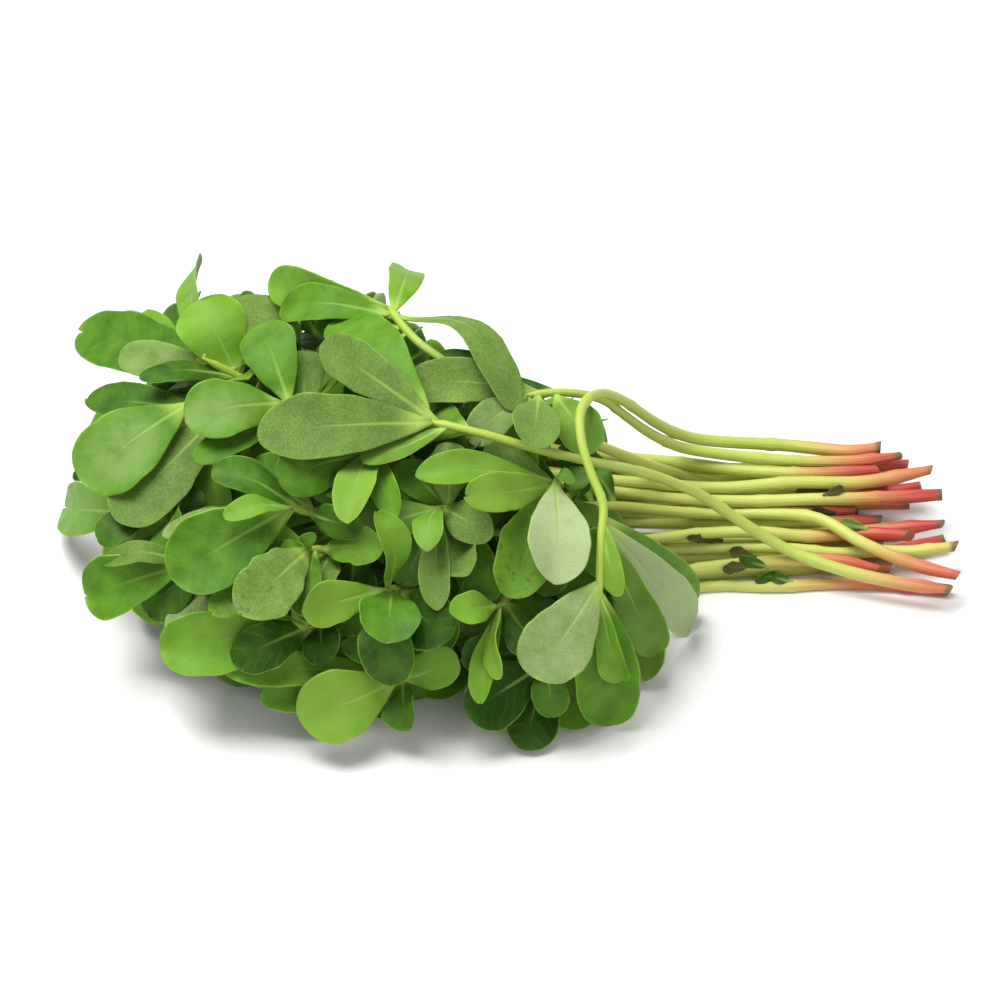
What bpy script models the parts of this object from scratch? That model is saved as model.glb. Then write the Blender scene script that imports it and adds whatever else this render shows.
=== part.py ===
"""A bunch of purslane as it lies on a table: long bare stems with cut ends, and a broad heap of spoon-shaped leaves.

Run it with: blender --background --python part.py
Each leafy stem is one object: a tapering stem with its leaves fused to it. Lengths are in millimetres until a mesh is
made. Places are given as the bunch is seen from in front and above: across to the right, up in that view, and depth
towards the viewer. A lift is a depth measured from the rounded skin of the heap of leaves.
"""

import itertools
import math

import bmesh
import bpy
import numpy as np
from mathutils import Vector
from mathutils.bvhtree import BVHTree

MM = 0.001
VIEW_TILT = math.radians(40)  # how steeply the view that the layout is given in looks down
ACROSS = np.array([1.0, 0.0, 0.0])
UP = np.array([0.0, math.sin(VIEW_TILT), math.cos(VIEW_TILT)])
TOWARDS_VIEW = np.array([0.0, -math.cos(VIEW_TILT), math.sin(VIEW_TILT)])

HEAP_CENTRE = np.array([-36.0, -25.0, 0.0])
HEAP_RADII = np.array([96.0, 90.0, 78.0])
HEAP_BOXINESS = 2.5  # 2 is an ellipsoid, more is squarer
HEAP_CORE = 0.4  # no leaf that grows by rule ends deeper inside the heap than this
BUNCH_MIDDLE = np.array([1.0, -27.0, 0.0])  # becomes the origin

STEM_SIDES_STEP = 1  # bevel resolution: six sides
STEM_RADIUS = 2.2  # at the cut end
STEM_TIP_RADIUS = 1.2
STEM_TAPER = 0.7  # below 1 the stem slims early
STEM_POINTS = 12
BENT_STEM_POINTS = 22
STEM_FLAT = 0.25  # how much of a stem's underside the table presses flat
BUNDLE_STATIONS = (108.0, 84.0, 58.0)  # where along the bundle its stems keep their lanes
STEM_GAP = 0.45  # kept between stems as they settle
SETTLE_ROUNDS = 90
SETTLE_PUSH = 1.2  # how much of the way apart a round moves two stems that touch
SETTLE_SHARES = np.linspace(0, 1, 6, endpoint=False)
END_BLEND = 0.25  # how far the outer station has already turned towards the cut end
END_RUN = 9.0  # the least run from the outer station to the cut end

LEAF_THICKNESS = 1.0
CLEARANCE = 0.35  # kept between one leafy stem and the next
LEAF_ROWS = (0.0, 0.22, 0.58, 0.88, 1.0)
FREE_STALK = 0.12  # the share of a leaf next to the stem where it may touch its own stem's other leaves
LEAF_TAPER = 0.75
LEAF_ROUND = 2.4
ROOT_OFFSET = 0.4  # how far from the stem's middle a leaf starts, as a share of the stem's radius
LEAF_COLOR = (0.13, 0.31, 0.05, 1.0)

WELD = 1e-6  # metres
TABLE_BLOCK_SIDE = 500.0
TABLE_BLOCK_DEPTH = 20.0

# The lanes of the bundle: depth into the scene, height, and the cut end as seen (across, up) with its height.
LANES = (
    (-39.1, 1.5, 133, -26.8, 2.2),
    (-37.0, 6.9, 112, -19.5, 6.6),
    (-30.5, 7.0, 135.7, -13.6, 9.5),
    (-27.5, 11.4, 121.7, -11.8, 10.5),
    (-20.6, 12.0, 135, -23.4, 9.0),
    (-17.2, 14.0, 131.8, 1.6, 13.5),
    (-13.3, 16.3, 129, 9.8, 16.0),
    (-7.7, 16.3, 112, 7.6, 15.5),
    (-2.6, 16.3, 119.5, 13.2, 17.0),
    (2.2, 16.3, 114, 15.8, 16.5),
    (-26.0, 19.4, 134, -25.5, 8.0),
    (-33.5, 1.5, 116, -20.4, 2.2),
    (-28.4, 1.5, 132.5, -11.8, 4.5),
    (-23.2, 1.5, 114, -13.5, 2.2),
    (-18.0, 1.5, 118, -10.0, 2.2),
    (-12.9, 1.5, 109, -7.0, 2.2),
    (-7.7, 1.5, 107, -3.6, 2.2),
    (-2.6, 1.5, 110, -0.4, 2.2),
    (2.6, 1.5, 101, 3.0, 2.2),
    (-25.0, 7.0, 131.8, -7.1, 8.5),
    (-19.8, 7.0, 113, -6.6, 7.0),
    (-14.6, 7.0, 106, -3.8, 7.0),
    (-9.5, 7.0, 122, -1.0, 8.0),
    (-4.3, 7.0, 125.6, 4.8, 9.5),
    (0.9, 7.0, 104, 6.2, 7.0),
    (-11.2, 11.6, 108, 2.2, 11.0),
    (-6.0, 11.6, 115, 5.2, 11.5),
    (-0.9, 11.6, 122, 10.6, 12.5),
)

# Where some of them leave their lane to cross over others: (depth into the scene, height) at each station.
LANE_TURNS = {
    3: ((-27.0, 9.0), (-27.5, 11.4), (-27.5, 11.4)),
    4: ((-33.0, 9.2), (-21.5, 12.0), (-20.6, 12.0)),
    8: ((-2.6, 16.5), (-2.0, 17.5), (-5.0, 23.5)),
    9: ((2.2, 16.0), (1.5, 17.5), (-3.5, 25.0)),
    10: ((-43.0, 8.0), (-35.0, 12.0), (-36.0, 33.0)),
}
LANE_WAVE = 1.7  # how far a stem wanders from its lane
BUNDLE_MIDDLE = -18.0  # the depth that the lanes spread from, more at each station, towards the heap
BUNDLE_SPREAD = (1.0, 1.05, 1.12)

# One row a stem: its lane, and its way through the heap as (across, up, lift), from the bundle to its tip.
ROUTES = {
    "high_left": (7, [(-88, 42, -14)]),
    "far_left": (6, [(-92, 29, -11)]),
    "left_end": (20, [(-106, -4, -14)]),
    "upper_left": (5, [(-64, 29, -10)]),
    "crossing": (10, [(40, 8.5, -5), (25, 11.5, -2), (10, 15, 1), (-6, 19.5, 3), (-21, 23, 3)]),
    "top": (26, [(15, 22, -16), (-4, 33, -9), (-15, 40, -3), (-22, 44, -1), (-26, 49, 1), (-33, 57, 3)]),
    "top_right": (8, [(47, 18.5, -19), (40, 23, -12), (33.5, 27.5, -3), (26.5, 31, 1), (17, 31.5, 0), (7, 30.5, -1)]),
    "hanging": (
        9,
        [(50, 21, -15), (43, 24.5, -9), (37, 28.5, 0), (31.5, 31, 9), (27, 30.5, 14), (23.5, 26, 16), (23.5, 18, 14),
         (26, 9, 11), (30, -2, 10), (29, -14, 9), (29, -29, 9)],
    ),
    "middle_right": (4, [(16, 6, -4)]),
    "middle_left": (24, [(-38, 15, -9)]),
    "middle": (21, [(-18, -2, -9)]),
    "low_left": (19, [(-61, -2, -9)]),
    "lower_left": (13, [(-56, -14, -12)]),
    "left_foot": (14, [(-92, -19, -12)]),
    "front_left": (12, [(-56, -37, -12)]),
    "front_middle": (11, [(-34, -26, -10)]),
    "front_foot": (0, [(-30, -53, -10)]),
    "front": (3, [(-1, -31, -8)]),
    "front_right": (1, [(13, -48, -12)]),
    "right_foot": (2, [(38, -22, -14)]),
}

# The stems that only show from behind: lane, and where the tip is.
BACK_TIPS = {
    "back_left": (27, (-94.0, 20.0, 46.0)),
    "back_middle": (25, (-58.0, 30.0, 48.0)),
    "back_right": (22, (-24.0, 18.0, 36.0)),
    "back_foot_left": (16, (-84.0, 46.0, 14.0)),
    "back_foot_middle": (17, (-44.0, 54.0, 12.0)),
    "back_foot_right": (18, (0.0, 34.0, 6.0)),
    "right_side": (23, (12.0, 8.0, 24.0)),
    "left_side": (15, (-112.0, -2.0, 30.0)),
}

# The outline that the leaves which grow by rule stay inside, as seen: across and up, along its top and its foot.
OUTLINE_ACROSS = (-134, -128, -124, -112, -95, -82, -60, -44, -30, -22, -10, 4, 32, 37, 50, 66)
OUTLINE_TOP = (3, 5, 46, 58, 62, 63, 64, 66, 64, 50, 41, 32, 26, -8, -20, -29)
OUTLINE_FOOT = (-8, -11, -20, -37, -50, -54, -64, -69, -66, -64, -66, -70, -66, -62, -50, -36)

# One row a leaf that shows: how far back from the stem's tip it grows, its own tip (across, up, lift), its width, the
# turn about its length in degrees, how far its middle bows out, and how far its sides fold up in degrees.
SEEN_LEAVES = {
    "high_left": (
        (0, -90.5, 73, 2, 12, -45, 3, 26),
        (2, -124, 49, -8, 20, 0, 4, 6),
        (8, -113, 42, 6, 13, 0, 3, 8),
        (12, -89, 59.5, 9, 22, 0, 3, 6),
        (9, -70, 61, -4, 18, 0, 3, 6),
        (12, -106, 37, -2, 9, 25, 2, 10),
    ),
    "far_left": (
        (0, -122, 4, 7, 25, 0, 4, 6),
        (10, -111, -8, -5, 22, 0, 3, 4),
        (8, -121, 28, -4, 13, 25, 2, 10),
    ),
    "left_end": (
        (0, -134, -2, -2, 17, 0, 2, 10),
        (5, -118, -12, -6, 11, 20, 2, 6),
        (9, -94, -14, -9, 16, 10, 2, 6),
        (12, -92, 5, -9, 15, 10, 2, 6),
    ),
    "upper_left": (
        (0, -91.5, 24, 5, 20, 0, 3, -6),
        (3, -70, 51, 1, 17, 0, 3, 6),
        (6, -89, 10, -6, 11, 20, 2, 6),
        (9, -58, 44, -3, 13, 10, 2, 8),
    ),
    "crossing": (
        (0, -49, 56, 6, 19, 0, 5, 6),
        (3, -53, 47, 9, 14, -15, 5, 8),
        (1, -70.5, 19, 7, 21, 0, 4, 4),
        (6, -40, 11, 1, 11, 35, 2, 10),
    ),
    "top": (
        (0, -69, 65, 3, 14, -35, 5, 6),
        (3, -65, 56, -6, 13, 0, 3, 6),
        (6, -48, 60, -2, 9, 30, 3, 6),
        (2, -26.5, 72, 2, 11, 15, 2, 12),
        (3, 5.5, 28, 4, 15, -36, 12, 6),
        (10, -54, 51, -12, 10, 20, 2, 14),
        (4, -76, 62.5, -8, 10, 15, 2, 8),
    ),
    "top_right": (
        (0, -9, 18, 4, 12, 0, 3, 8),
        (3, -23, 40, -4, 14, 0, 3, 6),
        (6, -28, 34, -8, 15, 0, 3, 6),
        (4, 9, 13.5, 8, 15, 5, 3, 6),
        (9, 27, 14, 2, 15, 10, 3, 8),
        (12, -8, 32, -8, 12, 15, 3, 6),
    ),
    "hanging": (
        (22, 57, -39, 10, 15, 5, 4, 6),
        (24, 64, -35, -1, 15, 0, 3, 6),
        (20, 46, -44, 1, 14, 25, 3, 10),
        (23, 35, -28, 14, 8, 35, 2, 10),
        (0, 36, -52, 12, 12, 30, 3, 30),
        (2, 32, -65, 4, 20, 5, 3, 10),
        (5, 9, -51, 10, 21, 0, 4, 6),
    ),
    "middle_right": (
        (0, 16, -24, 8, 20, 0, 4, 6),
        (5, -11.5, 1, 8, 12, -15, 3, 12),
        (3, -24, 8, 4, 13, 30, 3, 16),
        (2, 2, -28, 1, 18, 0, 3, 8),
        (8, -5, 14, -2, 13, 25, 3, 6),
        (10, 14, -28, -7, 14, 10, 3, 6),
    ),
    "middle_left": (
        (0, -44, -6, 6, 13, 15, 3, 14),
        (2, -65, 6, 3, 16, 0, 2, 5),
        (5, -54, 27.5, 8, 10, 35, 2, 28),
        (1, -29, -5, 0, 10, 25, 2, 14),
        (10, -51, 1, -6, 14, 10, 2, 6),
    ),
    "middle": (
        (0, -21, -14, 5, 10, 30, 3, 20),
        (2, -3, -10, 3, 13, 0, 3, 10),
        (4, -9, -23, 0, 14, 10, 2, 12),
        (1, -19, -31, 3, 12, 20, 4, 20),
        (6, -14, 17, -2, 13, 0, 2, 8),
        (9, -30, 10, -8, 11, 10, 2, 8),
        (3, -29, -25, -1, 14, 10, 3, 8),
        (7, -2, -29, -3, 14, 10, 3, 8),
    ),
    "low_left": (
        (0, -95, -22, 7, 24, 0, 3, 8),
        (3, -98, -9, 4, 9, 25, 2, 6),
        (1, -80, -5, 6, 8, 30, 3, 8),
        (7, -40, -8, -4, 10, 20, 2, 6),
        (5, -84, 8, -4, 12, 20, 2, 6),
    ),
    "lower_left": (
        (0, -75, -33, 8, 18, 0, 6, 8),
        (3, -56, -34, 0, 11, 20, 2, 8),
        (6, -34, -13, 2, 12, -10, 2, 6),
        (4, -84, -34, -3, 11, 20, 2, 8),
    ),
    "left_foot": ((0, -121, -28, 3, 20, 0, 3, 6), (4, -116, -17, 2, 8, 30, 2, 8), (7, -104, -33, -4, 15, 10, 2, 6)),
    "front_left": (
        (0, -99, -43, 3, 21, 0, 3, 6),
        (3, -79, -48, -4, 16, 12, 2, 6),
        (6, -50, -47, -3, 13, 15, 2, 6),
    ),
    "front_middle": (
        (0, -59, -32, 5, 15, 0, 3, 8),
        (2, -34, -4, 8, 13, 40, 4, 26),
        (4, -33, -42, 7, 19, 0, 4, 6),
        (6, -31, -54, 0, 18, 5, 3, 6),
        (8, -14, -41, 2, 18, 10, 3, 8),
    ),
    "front_foot": (
        (0, -58, -63, 4, 22, 0, 3, 6),
        (3, -25, -67, 3, 14, 35, 2, 34),
        (6, -81, -50, -3, 12, 30, 2, 8),
        (9, -70, -58, -6, 12, 10, 2, 6),
        (12, -45, -42, -4, 10, 20, 2, 10),
    ),
    "front": (
        (0, -14, -32.5, 6, 10, 15, 2, 10),
        (2, 1, -52, 9, 9, 60, 3, 8),
        (4, -6, -59, 6, 9, 30, 5, 14),
        (6, 12, -44, -4, 14, 10, 2, 8),
    ),
    "front_right": (
        (0, -10, -62, 5, 20, 0, 3, 12),
        (2, 15, -64, 6, 11, 10, 3, 10),
        (4, 7, -73, 2, 17, 0, 2, 5),
        (6, 24, -67, -5, 15, 0, 2, 5),
        (9, -12, -46, -4, 13, 20, 2, 6),
    ),
    "right_foot": ((0, 42, -55, -5, 18, 10, 3, 6), (8, 40, -38, -6, 16, 0, 3, 6)),
}

# How a leaf that shows may move until it is clear: its size, its lift, its turn and its bow.
SEEN_SIZES = (1.0, 0.95, 0.9)
NUDGES = (0, -2, 2, -4, 4, -6, -8, 6, -11, -14, 9, -18, -23, -28)
MORE_TURNS = (0, 14, -14, 28, -28, 45, -45)
MORE_BOWS = (0, 3, -3)
# How much a leaf is changed by losing its whole size, by a millimetre of lift, a degree of turn and a mm of bow.
SIZE_STRAIN = 15.0
LIFT_STRAIN = 0.25
TURN_STRAIN = 0.125
BOW_STRAIN = 0.33
LOWEST_TIP = 2.0  # no tip of a leaf that shows is lower than this above the table

# The crossed pairs of leaves that grow by rule from every stem, and how each may bend until it is clear.
PAIR_STEP = 11.0
PAIR_COUNT = 4
BACK_PAIR_COUNT = 7
PITCHES = (50, 35, 65, 80, 20, 95)
YAWS = (0, 25, -25, 50, -50, 75, -75)
RULE_BOW = 3.0
RULE_FOLD = math.radians(7)
HEAP_EDGE = 1.12  # how far outside the heap's skin such a leaf may reach
LEAF_LENGTHS = (26.0, 32.0, 36.0, 36.0, 33.0)
LEAF_SHAPE = 0.6  # width over length
SMALLER = (1.0, 0.82, 0.64)  # the sizes tried where there is little room


def seen(across, up, depth):
    return across * ACROSS + up * UP + depth * TOWARDS_VIEW


def unit(vector):
    return vector / max(np.linalg.norm(vector), 1e-9)


def outside(point):
    """How far out a point is: under 1 inside the heap's skin and over 1 outside it."""
    return float(np.sum(np.abs((point - HEAP_CENTRE) / HEAP_RADII) ** HEAP_BOXINESS))


def outward(point):
    """The direction that the heap's skin faces near a point."""
    away = (point - HEAP_CENTRE) / HEAP_RADII
    return unit(np.sign(away) * np.abs(away) ** (HEAP_BOXINESS - 1) / HEAP_RADII)


def on_skin(across, up, lift):
    """The point seen at (across, up) that stands out of the heap's skin by a lift, and no lower than the table."""
    depths = np.arange(-140.0, 170.0, 0.5)
    line = seen(across, up, 0.0)[None, :] + depths[:, None] * TOWARDS_VIEW[None, :]
    worth = np.sum(np.abs((line - HEAP_CENTRE) / HEAP_RADII) ** HEAP_BOXINESS, axis=1)
    inside = np.nonzero(worth <= 1.0)[0]
    depth = depths[inside[-1]] if len(inside) else depths[np.argmin(worth)]
    lowest = (LOWEST_TIP - up * UP[2]) / TOWARDS_VIEW[2]
    return seen(across, up, max(depth + lift, lowest))


def smooth_path(points, count):
    """A given number of evenly spaced points on a smooth curve through some points."""
    points = np.array(points)
    padded = np.vstack([2 * points[0] - points[1], points, 2 * points[-1] - points[-2]])
    dense = []
    for i in range(1, len(padded) - 2):
        before, start, end, after = padded[i - 1 : i + 3]
        for t in np.arange(0, 1, 0.05):
            dense.append(
                0.5
                * (
                    2 * start
                    + (end - before) * t
                    + (2 * before - 5 * start + 4 * end - after) * t**2
                    + (3 * start - before - 3 * end + after) * t**3
                )
            )
    dense = np.array(dense + [points[-1]])
    lengths = np.concatenate([[0], np.cumsum(np.linalg.norm(np.diff(dense, axis=0), axis=1))])
    places = np.linspace(0, lengths[-1], count)
    return np.stack([np.interp(places, lengths, dense[:, axis]) for axis in range(3)], axis=1)


def stem_radii(count):
    """The stem's radius at each of its points: stout at the cut end and slim among the leaves."""
    share = np.linspace(0, 1, count)
    return STEM_RADIUS + (STEM_TIP_RADIUS - STEM_RADIUS) * share**STEM_TAPER


def lane_points(lane):
    """The points of a stem in the bundle, from its cut end to where it enters the heap."""
    y, z, end_across, end_up, end_height = LANES[lane]
    end = np.array([end_across, (end_up - end_height * UP[2]) / UP[1], end_height])
    points = [end]
    turns = LANE_TURNS.get(lane, ((y, z),) * len(BUNDLE_STATIONS))
    for station, spread, (depth, height) in zip(BUNDLE_STATIONS, BUNDLE_SPREAD, turns):
        depth = BUNDLE_MIDDLE + spread * (depth - BUNDLE_MIDDLE)
        sway = LANE_WAVE * math.sin(2.4 * lane + 0.06 * station)
        rise = 0.5 * LANE_WAVE * max(math.sin(1.7 * lane + 0.05 * station), 0)
        on_table = height < STEM_RADIUS
        points.append(np.array([station, depth + sway, height if on_table else height + rise]))
    if lane not in LANE_TURNS:
        points[1] += (end - points[1]) * END_BLEND
    points[1][0] = min(BUNDLE_STATIONS[0], end_across - END_RUN)
    return points


def plan_stems():
    """Every stem's points, by name, before they settle."""
    paths = {}
    for name, (lane, route) in ROUTES.items():
        points = lane_points(lane)
        heap = [on_skin(*place) for place in route]
        if len(heap) == 1:
            points += inner_way(points[-1], heap[0])
        count = BENT_STEM_POINTS if name == "hanging" else STEM_POINTS
        paths[name] = smooth_path(points + heap, count)
    for name, (lane, place) in BACK_TIPS.items():
        points = lane_points(lane)
        tip = np.array(place)
        paths[name] = smooth_path(points + inner_way(points[-1], tip) + [tip], STEM_POINTS)
    return paths


def inner_way(start, tip):
    """Two points that lead a stem through the inside of the heap and out towards its tip."""
    reach = np.linalg.norm(tip - start)
    leave = start + np.array([-0.33 * reach, 0, 0])
    arrive = tip - 0.3 * reach * unit(0.5 * outward(tip) + 0.5 * unit(tip - start))
    way = [0.75 * leave + 0.25 * tip, 0.3 * leave + 0.7 * arrive]
    for point in way:
        point[2] = max(point[2], STEM_TIP_RADIUS + 1.0)
    return way


def settle(paths):
    """Pushes stems apart until they clear each other, and keeps them on the table."""
    names = list(paths)
    for _ in range(SETTLE_ROUNDS):
        moved = {name: np.zeros_like(paths[name]) for name in names}
        weight = {name: np.full(len(paths[name]), 1e-9) for name in names}
        samples = {name: sample_path(paths[name]) for name in names}
        for a in range(len(names)):
            for b in range(a + 1, len(names)):
                push_apart(names[a], names[b], samples, moved, weight)
        for name in names:
            path = paths[name] + SETTLE_PUSH * moved[name] / np.maximum(weight[name], 0.3)[:, None]
            to_side = stem_radii(len(path)) * math.cos(math.pi / 6)
            path[:, 2] = np.maximum(path[:, 2], to_side - STEM_FLAT)
            paths[name] = path
    return paths


def sample_path(path):
    """Points along a path, with the segment and the share along it, and the stem's radius there."""
    segments = np.repeat(np.arange(len(path) - 1), len(SETTLE_SHARES))
    share = np.tile(SETTLE_SHARES, len(path) - 1)
    radii = stem_radii(len(path))
    points = path[segments] * (1 - share)[:, None] + path[segments + 1] * share[:, None]
    return points, segments, share, radii[segments] * (1 - share) + radii[segments + 1] * share


def push_apart(a, b, samples, moved, weight):
    """Adds up how far the points of two stems have to move for the stems to clear each other."""
    points_a, segments_a, share_a, radii_a = samples[a]
    points_b, segments_b, share_b, radii_b = samples[b]
    reach = 2 * STEM_RADIUS + STEM_GAP
    if np.any(points_a.min(axis=0) - reach > points_b.max(axis=0)):
        return
    if np.any(points_b.min(axis=0) - reach > points_a.max(axis=0)):
        return
    apart = points_a[:, None, :] - points_b[None, :, :]
    distance = np.linalg.norm(apart, axis=2)
    short = radii_a[:, None] + radii_b[None, :] + STEM_GAP - distance
    for i in np.nonzero(short.max(axis=1) > 0)[0]:
        j = int(np.argmax(short[i]))
        push = apart[i, j] / max(distance[i, j], 1e-6) * short[i, j] / 2
        for name, segment, share, sign in (
            (a, segments_a[i], share_a[i], 1),
            (b, segments_b[j], share_b[j], -1),
        ):
            moved[name][segment] += sign * push * (1 - share)
            moved[name][segment + 1] += sign * push * share
            weight[name][segment] += 1 - share
            weight[name][segment + 1] += share


def half_width(s, width):
    """Half the width of a spoon-shaped leaf at a share of its length."""
    widest = (LEAF_TAPER / (LEAF_TAPER + LEAF_ROUND / 2)) ** (1 / LEAF_ROUND)
    peak = widest**LEAF_TAPER * math.sqrt(1 - widest**LEAF_ROUND)
    share = s**LEAF_TAPER * math.sqrt(max(0.0, 1 - s**LEAF_ROUND)) / peak
    return width / 2 * share


def leaf_rows(leaf):
    """The rows of points of a leaf's middle surface, from its root in the stem to its tip."""
    root, tip, facing, width, turn, bow, fold = leaf
    along = unit(tip - root)
    face = unit(facing - along * np.dot(facing, along))
    side = np.cross(along, face)
    face, side = face * math.cos(turn) + side * math.sin(turn), side * math.cos(turn) - face * math.sin(turn)
    rows = []
    for s in LEAF_ROWS:
        centre = root * (1 - s) + tip * s + face * 4 * bow * s * (1 - s) * (0.6 + 0.8 * s)
        half = half_width(s, width)
        lift = face * half * math.sin(fold) * min(1, s * 1.5)
        edge = side * half * math.cos(fold)
        if s in (LEAF_ROWS[0], LEAF_ROWS[-1]):
            row = [centre]
        elif s == LEAF_ROWS[1]:
            row = [centre - edge, centre + edge]
        else:
            row = [centre - edge + lift, centre, centre + edge + lift]
        for point in row:
            point[2] = max(point[2], LEAF_THICKNESS / 2)
        rows.append(row)
    return rows


def leaf_faces(rows):
    """The corners and triangles of a leaf's middle surface: one root, two, three, three and one tip."""
    points = [point for row in rows for point in row]
    faces = [(0, 1, 2), (1, 3, 4), (1, 4, 2), (2, 4, 5)]
    faces += [(3, 6, 7), (3, 7, 4), (4, 7, 5), (7, 8, 5)]
    faces += [(6, 9, 7), (7, 9, 8)]
    return np.array(points), faces


def thick_tree(points, faces, half):
    """A search tree of both faces of a thin sheet, moved out by half its thickness."""
    normals = np.zeros_like(points)
    for a, b, c in faces:
        normal = np.cross(points[b] - points[a], points[c] - points[a])
        for corner in (a, b, c):
            normals[corner] += normal
    normals /= np.maximum(np.linalg.norm(normals, axis=1), 1e-9)[:, None]
    sheet = np.vstack([points + normals * half, points - normals * half])
    count = len(points)
    triangles = list(faces) + [(a + count, b + count, c + count) for a, b, c in faces]
    edges = {}
    for face in faces:
        for a, b in zip(face, face[1:] + face[:1]):
            edges[(min(a, b), max(a, b))] = edges.get((min(a, b), max(a, b)), 0) + 1
    for (a, b), uses in edges.items():
        if uses == 1:
            triangles += [(a, b, b + count), (a, b + count, a + count)]
    return BVHTree.FromPolygons(sheet.tolist(), triangles), sheet.min(axis=0), sheet.max(axis=0)


def tube_tree(path, radii, grow):
    """A search tree of a stem's surface, grown a little."""
    points = []
    faces = []
    sides = 8
    for i, centre in enumerate(path):
        ahead = unit(path[min(i + 1, len(path) - 1)] - path[max(i - 1, 0)])
        across = unit(np.cross(ahead, np.array([0.1, 0.2, 1.0])))
        other = np.cross(ahead, across)
        for k in range(sides):
            angle = 2 * math.pi * k / sides
            points.append(centre + (radii[i] + grow) * (across * math.cos(angle) + other * math.sin(angle)))
    for i in range(len(path) - 1):
        for k in range(sides):
            a = i * sides + k
            b = i * sides + (k + 1) % sides
            faces += [(a, b, b + sides), (a, b + sides, a + sides)]
    points = np.array(points)
    return BVHTree.FromPolygons(points.tolist(), faces), points.min(axis=0), points.max(axis=0)


class Placed:
    """What is already in the bunch, for asking whether a new leaf would touch it."""

    def __init__(self):
        self.owners = []
        self.trees = []
        self.low = np.zeros((0, 3))
        self.high = np.zeros((0, 3))

    def add(self, owner, tree, low, high):
        self.owners.append(owner)
        self.trees.append(tree)
        self.low = np.vstack([self.low, low])
        self.high = np.vstack([self.high, high])

    def clear(self, owner, tree, low, high, skip_own):
        near = np.all(self.low <= high, axis=1) & np.all(self.high >= low, axis=1)
        for i in np.nonzero(near)[0]:
            if skip_own and self.owners[i] == owner:
                continue
            if self.trees[i].overlap(tree):
                return False
        return True


def root_on(path, back):
    """The point a given way back from a stem's tip, on its middle line."""
    lengths = np.concatenate([[0], np.cumsum(np.linalg.norm(np.diff(path, axis=0), axis=1))])
    place = max(lengths[-1] - back - 0.8, 0)
    return np.array([np.interp(place, lengths, path[:, axis]) for axis in range(3)])


def outer_part(rows):
    """A leaf without the first of its stalk, for telling whether leaves of the same stem cross."""
    neck = (rows[1][0] + rows[1][1]) / 2
    return leaf_faces([[rows[0][0] + (neck - rows[0][0]) * FREE_STALK / LEAF_ROWS[1]]] + rows[1:])


def fits(name, leaf, others, own):
    """Whether a leaf clears the other stems, and the leaves of its own stem beyond its stalk."""
    rows = leaf_rows(leaf)
    if not others.clear(name, *thick_tree(*leaf_faces(rows), LEAF_THICKNESS / 2 + CLEARANCE), True):
        return False
    return own.clear(name, *thick_tree(*outer_part(rows), LEAF_THICKNESS / 2), False)


def keep(name, leaf, others, own, leaves):
    rows = leaf_rows(leaf)
    others.add(name, *thick_tree(*leaf_faces(rows), LEAF_THICKNESS / 2))
    own[name].add(name, *thick_tree(*outer_part(rows), LEAF_THICKNESS / 2 + 0.1))
    leaves[name].append(leaf)


def strain(change):
    """How far a change takes a leaf from its place in the view: the least is tried first."""
    size, nudge, more_turn, more_bow = change
    moved = abs(nudge) * LIFT_STRAIN + abs(more_turn) * TURN_STRAIN + abs(more_bow) * BOW_STRAIN
    return (1 - size) * SIZE_STRAIN + moved


def place_seen(name, row, path, others, own, leaves):
    """Places a leaf that shows: it keeps its place in the view, and moves nearer or further until it is clear."""
    back, across, up, lift, width, turn, bow, fold = row
    middle = root_on(path, back)
    changes = itertools.product(SEEN_SIZES, NUDGES, MORE_TURNS, MORE_BOWS)
    for size, nudge, more_turn, more_bow in sorted(changes, key=strain):
        tip = on_skin(across, up, lift + nudge)
        root = middle + unit(tip - middle) * ROOT_OFFSET * STEM_TIP_RADIUS
        tip = root + (tip - root) * size
        facing = unit(0.6 * TOWARDS_VIEW + 0.4 * outward(tip))
        bend = (width * size**2, math.radians(turn + more_turn), bow + more_bow, math.radians(fold))
        leaf = (root, tip, facing, *bend)
        if fits(name, leaf, others, own[name]):
            keep(name, leaf, others, own, leaves)
            return True
    return False


def in_front(leaf, shown):
    """Whether a leaf would hide one that shows."""
    points, _ = leaf_faces(leaf_rows(leaf))
    ray = Vector((-TOWARDS_VIEW).tolist())
    return any(shown.ray_cast(Vector(point.tolist()), ray)[0] is not None for point in points[2:])


def in_outline(leaf):
    """Whether a leaf stays near the heap's skin and inside it, and inside the heap's outline as seen."""
    if outside(leaf[1]) < HEAP_CORE:
        return False
    for point in leaf_faces(leaf_rows(leaf))[0]:
        across = point @ ACROSS
        up = point @ UP
        if outside(point) > HEAP_EDGE or not OUTLINE_ACROSS[0] < across < OUTLINE_ACROSS[-1]:
            return False
        if up > np.interp(across, OUTLINE_ACROSS, OUTLINE_TOP):
            return False
        if up < np.interp(across, OUTLINE_ACROSS, OUTLINE_FOOT):
            return False
    return True


def rule_leaf(root, direction, length, width, pitch, yaw, ahead):
    """A leaf that grows from a stem at a pitch from its run, in a direction round it."""
    sideways = unit(direction - ahead * np.dot(direction, ahead))
    swing = unit(np.cross(ahead, sideways))
    aim = unit(ahead * math.cos(pitch) + (sideways * math.cos(yaw) + swing * math.sin(yaw)) * math.sin(pitch))
    root = root + aim * ROOT_OFFSET * STEM_TIP_RADIUS
    tip = root + aim * length
    facing = unit(0.55 * outward(tip) + 0.45 * ahead)
    return (root, tip, facing, width, 0.0, RULE_BOW, RULE_FOLD)


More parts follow.
